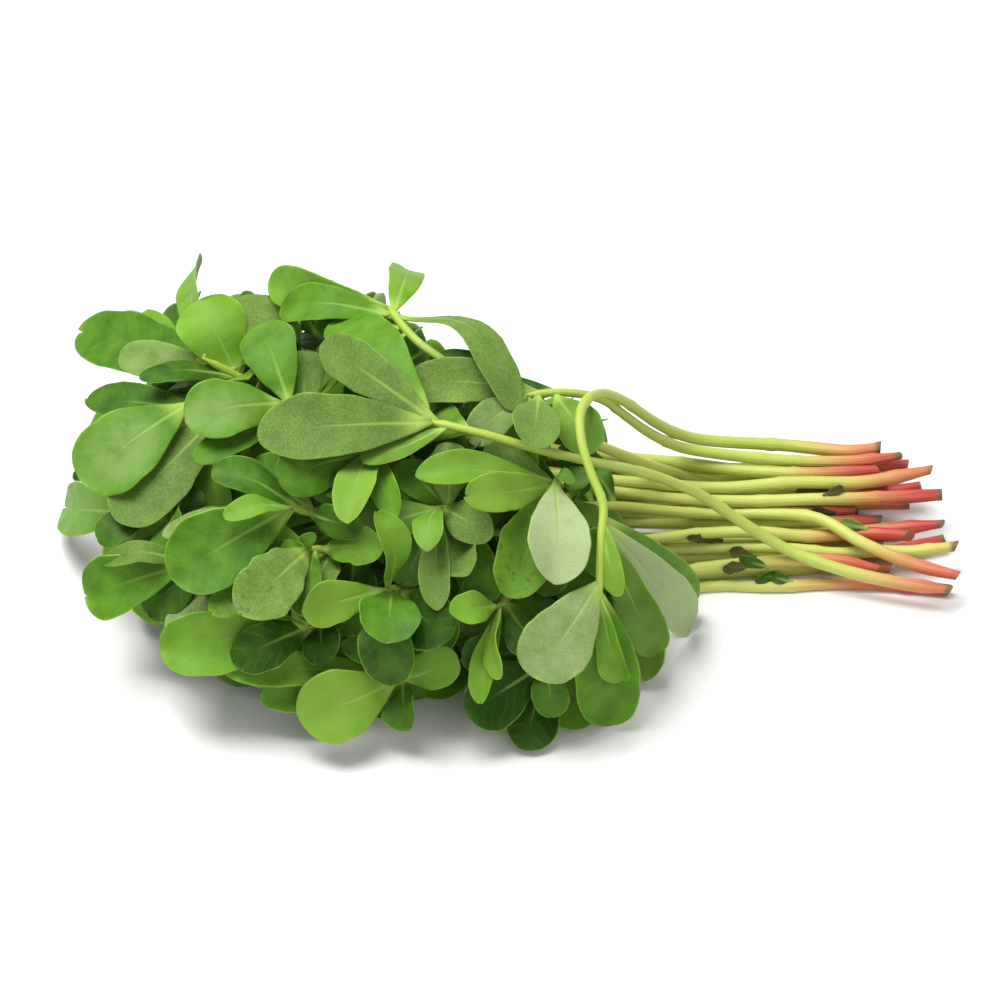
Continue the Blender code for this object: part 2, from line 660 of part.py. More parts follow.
def place_by_rule(name, path, pairs, others, own, leaves, shown):
    """Grows crossed pairs of leaves down a stem from its tip, each bent until it is clear or else left out."""
    count = 0
    for pair in range(pairs):
        back = 1.0 + pair * PAIR_STEP
        root = root_on(path, back)
        ahead = unit(root_on(path, max(back - 4, 0)) - root_on(path, back + 4))
        first = unit(np.cross(ahead, np.array([0.0, 0.0, 1.0])))
        second = np.cross(ahead, first)
        length = LEAF_LENGTHS[min(pair, len(LEAF_LENGTHS) - 1)]
        for sign in (1, -1):
            direction = sign * (first if pair % 2 else second)
            if place_bent(name, root, direction, length, ahead, others, own, leaves, shown):
                count += 1
    return count


def place_bent(name, root, direction, length, ahead, others, own, leaves, shown):
    """Places a leaf that grows by rule, at the first size, pitch and yaw that are clear."""
    sizes = SMALLER if name in BACK_TIPS else SMALLER[:2]
    for size, pitch, yaw in itertools.product(sizes, PITCHES, YAWS):
        long = length * size
        leaf = rule_leaf(root, direction, long, long * LEAF_SHAPE, math.radians(pitch), math.radians(yaw), ahead)
        if leaf[1][2] < LEAF_THICKNESS / 2 or not in_outline(leaf) or in_front(leaf, shown):
            continue
        if fits(name, leaf, others, own[name]):
            keep(name, leaf, others, own, leaves)
            return True
    return False


def plan_bunch():
    """The stems' points and the leaves of every stem."""
    paths = settle(plan_stems())
    others = Placed()
    own = {name: Placed() for name in paths}
    leaves = {name: [] for name in paths}
    for name, path in paths.items():
        others.add(name, *tube_tree(path, stem_radii(len(path)), 0.05))
    rows = [(row[3], name, row) for name in SEEN_LEAVES for row in SEEN_LEAVES[name]]
    rows.sort(key=lambda entry: -entry[0])
    missed = []
    for _, name, row in rows:
        if not place_seen(name, row, paths[name], others, own, leaves):
            missed.append((name, row[1], row[2]))
    print(f"leaves that show: {len(rows) - len(missed)}, with no room: {missed}")
    points = []
    faces = []
    for name in leaves:
        for leaf in leaves[name]:
            corners, triangles = leaf_faces(leaf_rows(leaf))
            faces += [tuple(i + len(points) for i in triangle) for triangle in triangles]
            points += corners.tolist()
    shown = BVHTree.FromPolygons(points, faces)
    for name in list(BACK_TIPS) + list(ROUTES):
        pairs = BACK_PAIR_COUNT if name in BACK_TIPS else PAIR_COUNT
        count = place_by_rule(name, paths[name], pairs, others, own, leaves, shown)
        print(f"{name}: {len(leaves[name]) - count} leaves that show, {count} by rule")
    return paths, leaves


def clear_scene():
    for obj in list(bpy.data.objects):
        bpy.data.objects.remove(obj, do_unlink=True)


def make_collection(name):
    collection = bpy.data.collections.new(name)
    bpy.context.scene.collection.children.link(collection)
    return collection


def make_material(name, color, roughness):
    material = bpy.data.materials.new(name)
    material.use_nodes = True
    shader = material.node_tree.nodes["Principled BSDF"]
    shader.inputs["Base Color"].default_value = color
    shader.inputs["Roughness"].default_value = roughness
    shader.inputs["Metallic"].default_value = 0.0
    return material


def evaluated_mesh(obj, name):
    """A plain mesh of an object as its modifiers or its curve settings make it."""
    bpy.context.view_layer.update()
    graph = bpy.context.evaluated_depsgraph_get()
    mesh = bpy.data.meshes.new_from_object(obj.evaluated_get(graph), depsgraph=graph)
    mesh.name = name
    return mesh


def make_stem(name, path, place, collection):
    """A tapering tube along the stem's points, with its own origin at the cut end."""
    curve = bpy.data.curves.new(name, "CURVE")
    curve.dimensions = "3D"
    curve.bevel_depth = MM
    curve.bevel_resolution = STEM_SIDES_STEP
    curve.use_fill_caps = True
    spline = curve.splines.new("POLY")
    spline.points.add(len(path) - 1)
    for point, position, radius in zip(spline.points, path, stem_radii(len(path))):
        point.co = (*((position - path[0]) * MM), 1.0)
        point.radius = radius
    tube = bpy.data.objects.new(name + "_curve", curve)
    tube.location = place
    collection.objects.link(tube)
    stem = bpy.data.objects.new(name, evaluated_mesh(tube, name))
    stem.matrix_world = tube.matrix_world
    bpy.data.objects.remove(tube, do_unlink=True)
    collection.objects.link(stem)
    weld = bmesh.new()
    weld.from_mesh(stem.data)
    bmesh.ops.remove_doubles(weld, verts=weld.verts, dist=WELD)
    bmesh.ops.recalc_face_normals(weld, faces=weld.faces)
    weld.to_mesh(stem.data)
    weld.free()
    return stem


def make_leaf(name, leaf, origin, place, collection):
    """A leaf as an open spoon-shaped surface that is given its thickness."""
    points, faces = leaf_faces(leaf_rows(leaf))
    mesh = bpy.data.meshes.new(name)
    mesh.from_pydata(((points - origin) * MM).tolist(), [], faces)
    blade = bpy.data.objects.new(name, mesh)
    blade.location = place
    collection.objects.link(blade)
    wall = blade.modifiers.new("thickness", "SOLIDIFY")
    wall.thickness = LEAF_THICKNESS * MM
    wall.offset = 0.0
    return blade


def apply_modifiers(obj):
    mesh = evaluated_mesh(obj, obj.name)
    obj.modifiers.clear()
    obj.data = mesh


def make_leafy_stem(name, path, leaves, parts, helpers, table, material):
    """Fuses a stem and its leaves into one body, pressed flat where it lies on the table."""
    place = Vector(((path[0] - BUNCH_MIDDLE) * MM).tolist())
    stem = make_stem(name, path, place, parts)
    blades = bpy.data.collections.new(name + "_leaves")
    helpers.children.link(blades)
    for i, leaf in enumerate(leaves):
        make_leaf(f"{name}_leaf_{i:02d}", leaf, path[0], place, blades)
    join = stem.modifiers.new("join leaves", "BOOLEAN")
    join.operation = "UNION"
    join.operand_type = "COLLECTION"
    join.collection = blades
    join.solver = "EXACT"
    apply_modifiers(stem)
    for blade in list(blades.objects):
        bpy.data.objects.remove(blade, do_unlink=True)
    bpy.data.collections.remove(blades)
    press = stem.modifiers.new("table", "BOOLEAN")
    press.operation = "DIFFERENCE"
    press.object = table
    press.solver = "EXACT"
    apply_modifiers(stem)
    stem.data.materials.clear()
    stem.data.materials.append(material)
    return stem


def make_table_cutter(helpers):
    """A block whose top is the table, for pressing flat what dips under it."""
    bpy.ops.mesh.primitive_cube_add(size=1.0, location=(0, 0, -TABLE_BLOCK_DEPTH / 2 * MM))
    block = bpy.context.active_object
    block.name = "table_cutter"
    block.scale = (TABLE_BLOCK_SIDE * MM, TABLE_BLOCK_SIDE * MM, TABLE_BLOCK_DEPTH * MM)
    for collection in list(block.users_collection):
        collection.objects.unlink(block)
    helpers.objects.link(block)
    block.hide_render = True
    block.display_type = "WIRE"
    return block


def main():
    clear_scene()
    parts = make_collection("purslane_bunch")
    helpers = make_collection("helpers")
    material = make_material("purslane_green", LEAF_COLOR, 0.5)
    table = make_table_cutter(helpers)
    middle = bpy.data.objects.new("bunch_middle", None)
    parts.objects.link(middle)
    paths, leaves = plan_bunch()
    for name, path in paths.items():
        stem = make_leafy_stem("stem_" + name, path, leaves[name], parts, helpers, table, material)
        stem.parent = middle
    return paths, leaves


if __name__ == "__main__":
    main()
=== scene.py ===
# %% [markdown]
# # A bunch of purslane
# Purslane is a leaf vegetable with juicy stems and thick, spoon-shaped leaves. This bunch lies on a table:
# long bare stems with reddish cut ends on the right, and a broad heap of leaves on the left. The packed
# model has one plain solid for each leafy stem. Here every one of them is replaced by a finer piece of the
# same form, made by one Geometry Nodes tree, and given procedural materials.

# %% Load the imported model
import itertools
import math
import random

import bpy
import numpy as np
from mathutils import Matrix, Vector
from mathutils.bvhtree import BVHTree


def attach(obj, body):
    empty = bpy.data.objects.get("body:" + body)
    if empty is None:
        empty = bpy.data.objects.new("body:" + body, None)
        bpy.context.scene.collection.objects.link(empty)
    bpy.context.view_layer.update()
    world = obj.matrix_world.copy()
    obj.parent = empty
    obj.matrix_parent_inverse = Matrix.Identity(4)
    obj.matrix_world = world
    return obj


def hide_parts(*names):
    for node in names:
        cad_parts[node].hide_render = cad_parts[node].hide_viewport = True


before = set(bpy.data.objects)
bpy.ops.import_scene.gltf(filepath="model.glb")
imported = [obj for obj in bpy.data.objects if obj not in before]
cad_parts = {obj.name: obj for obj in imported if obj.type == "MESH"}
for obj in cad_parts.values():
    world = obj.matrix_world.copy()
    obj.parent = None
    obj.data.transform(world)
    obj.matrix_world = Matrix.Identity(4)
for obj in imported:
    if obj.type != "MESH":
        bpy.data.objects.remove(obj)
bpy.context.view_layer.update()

# %% [markdown]
# ## Where things are
# The bunch was laid out as it is seen from in front and above: across to the right, up in that view, and
# depth towards the viewer. Three directions turn such places into places on the table. Lengths are in
# millimetres until a mesh is made.

# %% The view that the layout is given in
MM = 0.001
VIEW_TILT = math.radians(40)
ACROSS = np.array([1.0, 0.0, 0.0])
UP = np.array([0.0, math.sin(VIEW_TILT), math.cos(VIEW_TILT)])
TOWARDS_VIEW = np.array([0.0, -math.cos(VIEW_TILT), math.sin(VIEW_TILT)])
BUNCH_MIDDLE = np.array([1.0, -27.0, 0.0])  # the place in the layout that is the row frame's origin


def seen(across, up, depth):
    return across * ACROSS + up * UP + depth * TOWARDS_VIEW


def unit(vector):
    return vector / max(np.linalg.norm(vector), 1e-9)


def in_metres(points):
    """Places in the row frame, in metres."""
    return (np.asarray(points) - BUNCH_MIDDLE) * MM


print("view looks down by", round(math.degrees(VIEW_TILT)), "degrees")

# %% [markdown]
# ## The camera
# A long lens far away gives a flat view with hardly any perspective, like the usual picture of a vegetable
# on white. The frame is 300 mm wide where the bunch lies.

# %% The camera
CAMERA_DISTANCE = 3.0
FRAME_WIDTH = 0.300
SENSOR_WIDTH = 36.0

camera_data = bpy.data.cameras.new("camera")
camera_data.sensor_width = SENSOR_WIDTH
camera_data.lens = SENSOR_WIDTH * CAMERA_DISTANCE / FRAME_WIDTH
camera_data.clip_end = 20.0
camera = bpy.data.objects.new("camera", camera_data)
bpy.context.scene.collection.objects.link(camera)
target = Vector(in_metres(seen(0.0, 0.0, 0.0)).tolist())
camera.location = target + Vector(TOWARDS_VIEW.tolist()) * CAMERA_DISTANCE
camera.rotation_euler = (math.pi / 2 - VIEW_TILT, 0, 0)
bpy.context.scene.camera = camera
print("lens", round(camera_data.lens), "mm")

# %% [markdown]
# ## A class for node maths
# Node trees get long when every sum takes several lines. This class wraps a socket, so that an ordinary
# expression adds the Math or Vector Math nodes that work it out. It serves Geometry Nodes and shaders
# alike, because both know these nodes.


# %% Node maths as expressions
class Flow:
    """A number, vector, colour or geometry that flows out of a socket."""

    def __init__(self, tree, socket=None):
        self.tree = tree
        self.socket = socket

    def node(self, kind, settings=None, values=None, output=0):
        """Adds a node, sets it up, fills or links its sockets, and gives the flow out of it."""
        node = self.tree.nodes.new(kind)
        for name, value in (settings or {}).items():
            if name == "stops":
                set_stops(node, value)
            else:
                setattr(node, name, value)
        for key, value in (values or {}).items():
            if isinstance(value, Flow):
                self.tree.links.new(value.socket, node.inputs[key])
            elif value is not None:
                node.inputs[key].default_value = value
        return Flow(self.tree, node.outputs[output]) if node.outputs else None

    def is_vector(self):
        return self.socket.type in ("VECTOR", "RGBA")

    def maths(self, operation, *others):
        return self.node("ShaderNodeMath", {"operation": operation}, dict(enumerate((self, *others))))

    def vectors(self, operation, *others, output=0):
        values = dict(enumerate((self, *others)))
        return self.node("ShaderNodeVectorMath", {"operation": operation}, values, output)

    def both(self, operation, other, swap=False):
        """The sum, difference, product or quotient of this flow and another, or a plain number."""
        wide = self.is_vector(), isinstance(other, Flow) and other.is_vector()
        if operation == "MULTIPLY" and wide[0] != wide[1]:
            vector, number = (self, other) if wide[0] else (other, self)
            return self.node("ShaderNodeVectorMath", {"operation": "SCALE"}, {0: vector, 3: number})
        if wide[0] and not isinstance(other, Flow):
            other = (other, other, other)
        kind = "ShaderNodeVectorMath" if any(wide) else "ShaderNodeMath"
        return self.node(kind, {"operation": operation}, {0: other, 1: self} if swap else {0: self, 1: other})

    def __add__(self, other):
        return self.both("ADD", other)

    def __sub__(self, other):
        return self.both("SUBTRACT", other)

    def __rsub__(self, other):
        return self.both("SUBTRACT", other, swap=True)

    def __mul__(self, other):
        return self.both("MULTIPLY", other)

    def __truediv__(self, other):
        return self.both("DIVIDE", other)

    def __rtruediv__(self, other):
        return self.both("DIVIDE", other, swap=True)

    __radd__ = __add__
    __rmul__ = __mul__

    def __pow__(self, power):
        return self.maths("POWER", power)

    def __abs__(self):
        return self.maths("ABSOLUTE")

    def ramp(self, low, high, first=0.0, last=1.0):
        """A smooth step from first to last as the flow goes from low to high."""
        values = {0: self, 1: low, 2: high, 3: first, 4: last}
        return self.node("ShaderNodeMapRange", {"interpolation_type": "SMOOTHSTEP"}, values)

    def xyz(self):
        parts = self.node("ShaderNodeSeparateXYZ", None, {0: self}).socket.node
        return [Flow(self.tree, output) for output in parts.outputs]

    def mixed(self, other, share):
        """This colour turned into another by a share."""
        values = {0: share, 6: self, 7: other}
        return self.node("ShaderNodeMix", {"data_type": "RGBA"}, values, 2)


def set_stops(node, stops):
    """Sets the stops of a colour ramp: (place, colour) for each."""
    elements = node.color_ramp.elements
    while len(elements) > 1:
        elements.remove(elements[-1])
    elements[0].position, elements[0].color = stops[0]
    for place, color in stops[1:]:
        elements.new(place).color = color


print("node maths ready")

# %% [markdown]
# ## The heap
# The leaves fill a rounded heap, like a squashed egg with slightly square sides. Its skin says where a leaf
# that is seen at some place in the view lies in depth, and which way it faces. Nothing is modelled for it:
# a short sum tells how far out of such an egg a point is.

# %% The heap's skin
HEAP_CENTRE = np.array([-36.0, -25.0, 0.0])
HEAP_RADII = np.array([96.0, 90.0, 78.0])
HEAP_BOXINESS = 2.5  # 2 would be an egg, and more is squarer
LOWEST_TIP = 2.0  # no tip of a leaf that shows is lower than this above the table
DEPTHS = np.arange(-140.0, 170.0, 0.5)  # where the skin is looked for along a line of sight


def outside(point):
    """How far out a point is: under 1 inside the heap's skin and over 1 outside it."""
    return float(np.sum(np.abs((point - HEAP_CENTRE) / HEAP_RADII) ** HEAP_BOXINESS))


def outward(point):
    """The direction that the heap's skin faces near a point."""
    away = (point - HEAP_CENTRE) / HEAP_RADII
    return unit(np.sign(away) * np.abs(away) ** (HEAP_BOXINESS - 1) / HEAP_RADII)


def on_skin(across, up, lift):
    """The point seen at (across, up) that stands out of the heap's skin by a lift, but clear of the table."""
    line = seen(across, up, 0.0)[None, :] + DEPTHS[:, None] * TOWARDS_VIEW[None, :]
    worth = np.sum(np.abs((line - HEAP_CENTRE) / HEAP_RADII) ** HEAP_BOXINESS, axis=1)
    inside = np.nonzero(worth <= 1.0)[0]
    depth = DEPTHS[inside[-1]] if len(inside) else DEPTHS[np.argmin(worth)]
    lowest = (LOWEST_TIP - up * UP[2]) / TOWARDS_VIEW[2]
    return seen(across, up, max(depth + lift, lowest))


print("heap radii", HEAP_RADII.tolist(), "mm")

# %% [markdown]
# ## The stems' plan
# Each stem starts at its cut end, keeps to its lane through the bundle, and then fans out into the heap. A
# curve could be drawn by hand for each, but a table of lanes and routes is quicker to read and to change.
# The stems whose tops show have a route here, and the others only the place of their tip.

# %% The stems' lanes and routes
BUNDLE_STATIONS = (108.0, 84.0, 58.0)  # the three places across where every lane has a point

# The lanes of the bundle: depth into the scene, height, and the cut end as seen (across, up) with its height.
LANES = (
    (-39.1, 1.5, 133, -26.8, 2.2),
    (-37.0, 6.9, 112, -19.5, 6.6),
    (-30.5, 7.0, 135.7, -13.6, 9.5),
    (-27.5, 11.4, 121.7, -11.8, 10.5),
    (-20.6, 12.0, 135, -23.4, 9.0),
    (-17.2, 14.0, 131.8, 1.6, 13.5),
    (-13.3, 16.3, 129, 9.8, 16.0),
    (-7.7, 16.3, 112, 7.6, 15.5),
    (-2.6, 16.3, 119.5, 13.2, 17.0),
    (2.2, 16.3, 114, 15.8, 16.5),
    (-26.0, 19.4, 134, -25.5, 8.0),
    (-33.5, 1.5, 116, -20.4, 2.2),
    (-28.4, 1.5, 132.5, -11.8, 4.5),
    (-23.2, 1.5, 114, -13.5, 2.2),
    (-18.0, 1.5, 118, -10.0, 2.2),
    (-12.9, 1.5, 109, -7.0, 2.2),
    (-7.7, 1.5, 107, -3.6, 2.2),
    (-2.6, 1.5, 110, -0.4, 2.2),
    (2.6, 1.5, 101, 3.0, 2.2),
    (-25.0, 7.0, 131.8, -7.1, 8.5),
    (-19.8, 7.0, 113, -6.6, 7.0),
    (-14.6, 7.0, 106, -3.8, 7.0),
    (-9.5, 7.0, 122, -1.0, 8.0),
    (-4.3, 7.0, 125.6, 4.8, 9.5),
    (0.9, 7.0, 104, 6.2, 7.0),
    (-11.2, 11.6, 108, 2.2, 11.0),
    (-6.0, 11.6, 115, 5.2, 11.5),
    (-0.9, 11.6, 122, 10.6, 12.5),
)

# Where some of them leave their lane to cross over others: (depth into the scene, height) at each station.
LANE_TURNS = {
    3: ((-27.0, 9.0), (-27.5, 11.4), (-27.5, 11.4)),
    4: ((-33.0, 9.2), (-21.5, 12.0), (-20.6, 12.0)),
    8: ((-2.6, 16.5), (-2.0, 17.5), (-5.0, 23.5)),
    9: ((2.2, 16.0), (1.5, 17.5), (-3.5, 25.0)),
    10: ((-43.0, 8.0), (-35.0, 12.0), (-36.0, 33.0)),
}

# One row a stem: its lane, and its way through the heap as (across, up, lift), from the bundle to its tip.
ROUTES = {
    "high_left": (7, [(-88, 42, -14)]),
    "far_left": (6, [(-92, 29, -11)]),
    "left_end": (20, [(-106, -4, -14)]),
    "upper_left": (5, [(-64, 29, -10)]),
    "crossing": (10, [(40, 8.5, -5), (25, 11.5, -2), (10, 15, 1), (-6, 19.5, 3), (-21, 23, 3)]),
    "top": (26, [(15, 22, -16), (-4, 33, -9), (-15, 40, -3), (-22, 44, -1), (-26, 49, 1), (-33, 57, 3)]),
    "top_right": (
        8,
        [(47, 18.5, -19), (40, 23, -12), (33.5, 27.5, -3), (26.5, 31, 1), (17, 31.5, 0), (7, 30.5, -1)],
    ),
    "hanging": (
        9,
        [(50, 21, -15), (43, 24.5, -9), (37, 28.5, 0), (31.5, 31, 9), (27, 30.5, 14), (23.5, 26, 16),
         (23.5, 18, 14), (26, 9, 11), (30, -2, 10), (29, -14, 9), (29, -29, 9)],
    ),
    "middle_right": (4, [(16, 6, -4)]),
    "middle_left": (24, [(-38, 15, -9)]),
    "middle": (21, [(-18, -2, -9)]),
    "low_left": (19, [(-61, -2, -9)]),
    "lower_left": (13, [(-56, -14, -12)]),
    "left_foot": (14, [(-92, -19, -12)]),
    "front_left": (12, [(-56, -37, -12)]),
    "front_middle": (11, [(-34, -26, -10)]),
    "front_foot": (0, [(-30, -53, -10)]),
    "front": (3, [(-1, -31, -8)]),
    "front_right": (1, [(13, -48, -12)]),
    "right_foot": (2, [(38, -22, -14)]),
}

# The stems that only show from behind: lane, and where the tip is.
BACK_TIPS = {
    "back_left": (27, (-94.0, 20.0, 46.0)),
    "back_middle": (25, (-58.0, 30.0, 48.0)),
    "back_right": (22, (-24.0, 18.0, 36.0)),
    "back_foot_left": (16, (-84.0, 46.0, 14.0)),
    "back_foot_middle": (17, (-44.0, 54.0, 12.0)),
    "back_foot_right": (18, (0.0, 34.0, 6.0)),
    "right_side": (23, (12.0, 8.0, 24.0)),
    "left_side": (15, (-112.0, -2.0, 30.0)),
}

print("stems:", len(ROUTES) + len(BACK_TIPS))

# %% [markdown]
# ## Laying the stems
# Stems are stout at the cut end and slim among the leaves, and none is quite straight. The points of each
# lie evenly on a smooth curve that passes through all its places, so no handles have to be set, and it
# sways a little about its lane.

# %% Lay the stems
STEM_RADIUS = 2.2
STEM_TIP_RADIUS = 1.2
STEM_TAPER = 0.7
STEM_POINTS = 12
BENT_STEM_POINTS = 22
END_BLEND = 0.25  # how far the first station's point is drawn to the cut end
END_RUN = 9.0  # how far that point keeps from the cut end
LANE_WAVE = 1.7  # how far a stem wanders from its lane
SWAY_TURNS = (2.4, 0.06)  # how that wander turns sideways, from lane to lane and along a stem
RISE_TURNS = (1.7, 0.05)  # and how it turns upwards
BUNDLE_MIDDLE = -18.0  # the depth that the lanes spread from, more at each station, towards the heap
BUNDLE_SPREAD = (1.0, 1.05, 1.12)
LEAVE_SHARE = 0.33  # how far a stem runs straight on into the heap, as a share of its way to its tip
ARRIVE_SHARE = 0.3  # and how far before its tip it takes its last direction


def smooth_path(points, count):
    """A given number of evenly spaced points on a smooth curve through some points."""
    points = np.array(points)
    padded = np.vstack([2 * points[0] - points[1], points, 2 * points[-1] - points[-2]])
    dense = []
    for i in range(1, len(padded) - 2):
        before, start, end, after = padded[i - 1 : i + 3]
        for t in np.arange(0, 1, 0.05):
            straight = 2 * start + (end - before) * t
            bent = (2 * before - 5 * start + 4 * end - after) * t**2
            dense.append(0.5 * (straight + bent + (3 * start - before - 3 * end + after) * t**3))
    dense = np.array(dense + [points[-1]])
    lengths = np.concatenate([[0], np.cumsum(np.linalg.norm(np.diff(dense, axis=0), axis=1))])
    places = np.linspace(0, lengths[-1], count)
    return np.stack([np.interp(places, lengths, dense[:, axis]) for axis in range(3)], axis=1)


def stem_radii(count):
    """The stem's radius at each of its points: stout at the cut end and slim among the leaves."""
    share = np.linspace(0, 1, count)
    return STEM_RADIUS + (STEM_TIP_RADIUS - STEM_RADIUS) * share**STEM_TAPER


def lane_points(lane):
    """The points of a stem in the bundle, from its cut end to where it enters the heap."""
    y, z, end_across, end_up, end_height = LANES[lane]
    end = np.array([end_across, (end_up - end_height * UP[2]) / UP[1], end_height])
    points = [end]
    turns = LANE_TURNS.get(lane, ((y, z),) * len(BUNDLE_STATIONS))
    for station, spread, (depth, height) in zip(BUNDLE_STATIONS, BUNDLE_SPREAD, turns):
        depth = BUNDLE_MIDDLE + spread * (depth - BUNDLE_MIDDLE)
        sway = LANE_WAVE * math.sin(SWAY_TURNS[0] * lane + SWAY_TURNS[1] * station)
        rise = 0.5 * LANE_WAVE * max(math.sin(RISE_TURNS[0] * lane + RISE_TURNS[1] * station), 0)
        on_table = height < STEM_RADIUS
        points.append(np.array([station, depth + sway, height if on_table else height + rise]))
    if lane not in LANE_TURNS:
        points[1] += (end - points[1]) * END_BLEND
    points[1][0] = min(BUNDLE_STATIONS[0], end_across - END_RUN)
    return points


def inner_way(start, tip):
    """Two points that lead a stem through the inside of the heap and out towards its tip."""
    reach = np.linalg.norm(tip - start)
    leave = start + np.array([-LEAVE_SHARE * reach, 0, 0])
    arrive = tip - ARRIVE_SHARE * reach * unit(0.5 * outward(tip) + 0.5 * unit(tip - start))
    way = [0.75 * leave + 0.25 * tip, 0.3 * leave + 0.7 * arrive]
    for point in way:
        point[2] = max(point[2], STEM_TIP_RADIUS + 1.0)
    return way


def plan_stems():
    """Every stem's points, by name, before they settle."""
    paths = {}
    for name, (lane, route) in ROUTES.items():
        points = lane_points(lane)
        heap = [on_skin(*place) for place in route]
        if len(heap) == 1:
            points += inner_way(points[-1], heap[0])
        count = BENT_STEM_POINTS if name == "hanging" else STEM_POINTS
        paths[name] = smooth_path(points + heap, count)
    for name, (lane, place) in BACK_TIPS.items():
        points = lane_points(lane)
        tip = np.array(place)
        paths[name] = smooth_path(points + inner_way(points[-1], tip) + [tip], STEM_POINTS)
    return paths


paths = plan_stems()
print("stems laid:", len(paths))

# %% [markdown]
# ## Letting the stems settle
# Planned stems still run through each other. Real ones slide into place in a bundle, so all of them push
# each other apart a little at a time, until none touches another. A physics simulation could do this, but
# would move them out of the places where they are seen.

# %% Let the stems settle
STEM_GAP = 0.45
STEM_FLAT = 0.25
SETTLE_ROUNDS = 90
SETTLE_PUSH = 1.2
SETTLE_SHARES = np.linspace(0, 1, 6, endpoint=False)
LEAST_WEIGHT = 0.3  # so that a light touch moves a point only a little


def sample_path(path):
    """Points along a path, with the segment and the share along it, and the stem's radius there."""
    segments = np.repeat(np.arange(len(path) - 1), len(SETTLE_SHARES))
    share = np.tile(SETTLE_SHARES, len(path) - 1)
    radii = stem_radii(len(path))
    points = path[segments] * (1 - share)[:, None] + path[segments + 1] * share[:, None]
    return points, segments, share, radii[segments] * (1 - share) + radii[segments + 1] * share


def push_apart(a, b, samples, moved, weight):
    """Adds up how far the points of two stems have to move for the stems to clear each other."""
    points_a, segments_a, share_a, radii_a = samples[a]
    points_b, segments_b, share_b, radii_b = samples[b]
    reach = 2 * STEM_RADIUS + STEM_GAP
    if np.any(points_a.min(axis=0) - reach > points_b.max(axis=0)):
        return
    if np.any(points_b.min(axis=0) - reach > points_a.max(axis=0)):
        return
    apart = points_a[:, None, :] - points_b[None, :, :]
    distance = np.linalg.norm(apart, axis=2)
    short = radii_a[:, None] + radii_b[None, :] + STEM_GAP - distance
    for i in np.nonzero(short.max(axis=1) > 0)[0]:
        j = int(np.argmax(short[i]))
        push = apart[i, j] / max(distance[i, j], 1e-6) * short[i, j] / 2
        for name, segment, share, sign in (
            (a, segments_a[i], share_a[i], 1),
            (b, segments_b[j], share_b[j], -1),
        ):
            moved[name][segment] += sign * push * (1 - share)
            moved[name][segment + 1] += sign * push * share
            weight[name][segment] += 1 - share
            weight[name][segment + 1] += share


def settle(paths):
    """Pushes stems apart until they clear each other, and keeps them on the table."""
    names = list(paths)
    for _ in range(SETTLE_ROUNDS):
        moved = {name: np.zeros_like(paths[name]) for name in names}
        weight = {name: np.full(len(paths[name]), 1e-9) for name in names}
        samples = {name: sample_path(paths[name]) for name in names}
        for a in range(len(names)):
            for b in range(a + 1, len(names)):
                push_apart(names[a], names[b], samples, moved, weight)
        for name in names:
            path = paths[name] + SETTLE_PUSH * moved[name] / np.maximum(weight[name], LEAST_WEIGHT)[:, None]
            to_side = stem_radii(len(path)) * math.cos(math.pi / 6)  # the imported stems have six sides
            path[:, 2] = np.maximum(path[:, 2], to_side - STEM_FLAT)
            paths[name] = path
    return paths


paths = settle(paths)
lengths = [float(np.sum(np.linalg.norm(np.diff(path, axis=0), axis=1))) for path in paths.values()]
print(f"stems from {min(lengths):.0f} to {max(lengths):.0f} mm long")

# %% [markdown]
# ## Where the leaves that show are
# Every leaf that can be made out has a row here: how far from its stem's tip it grows, where its own tip is
# seen, and how it is turned, bowed and folded. A letter gives its look: which face shows, and its green.
# Modelling leaf by leaf would take far longer, and a table lets all leaves share one shape and one
# material.

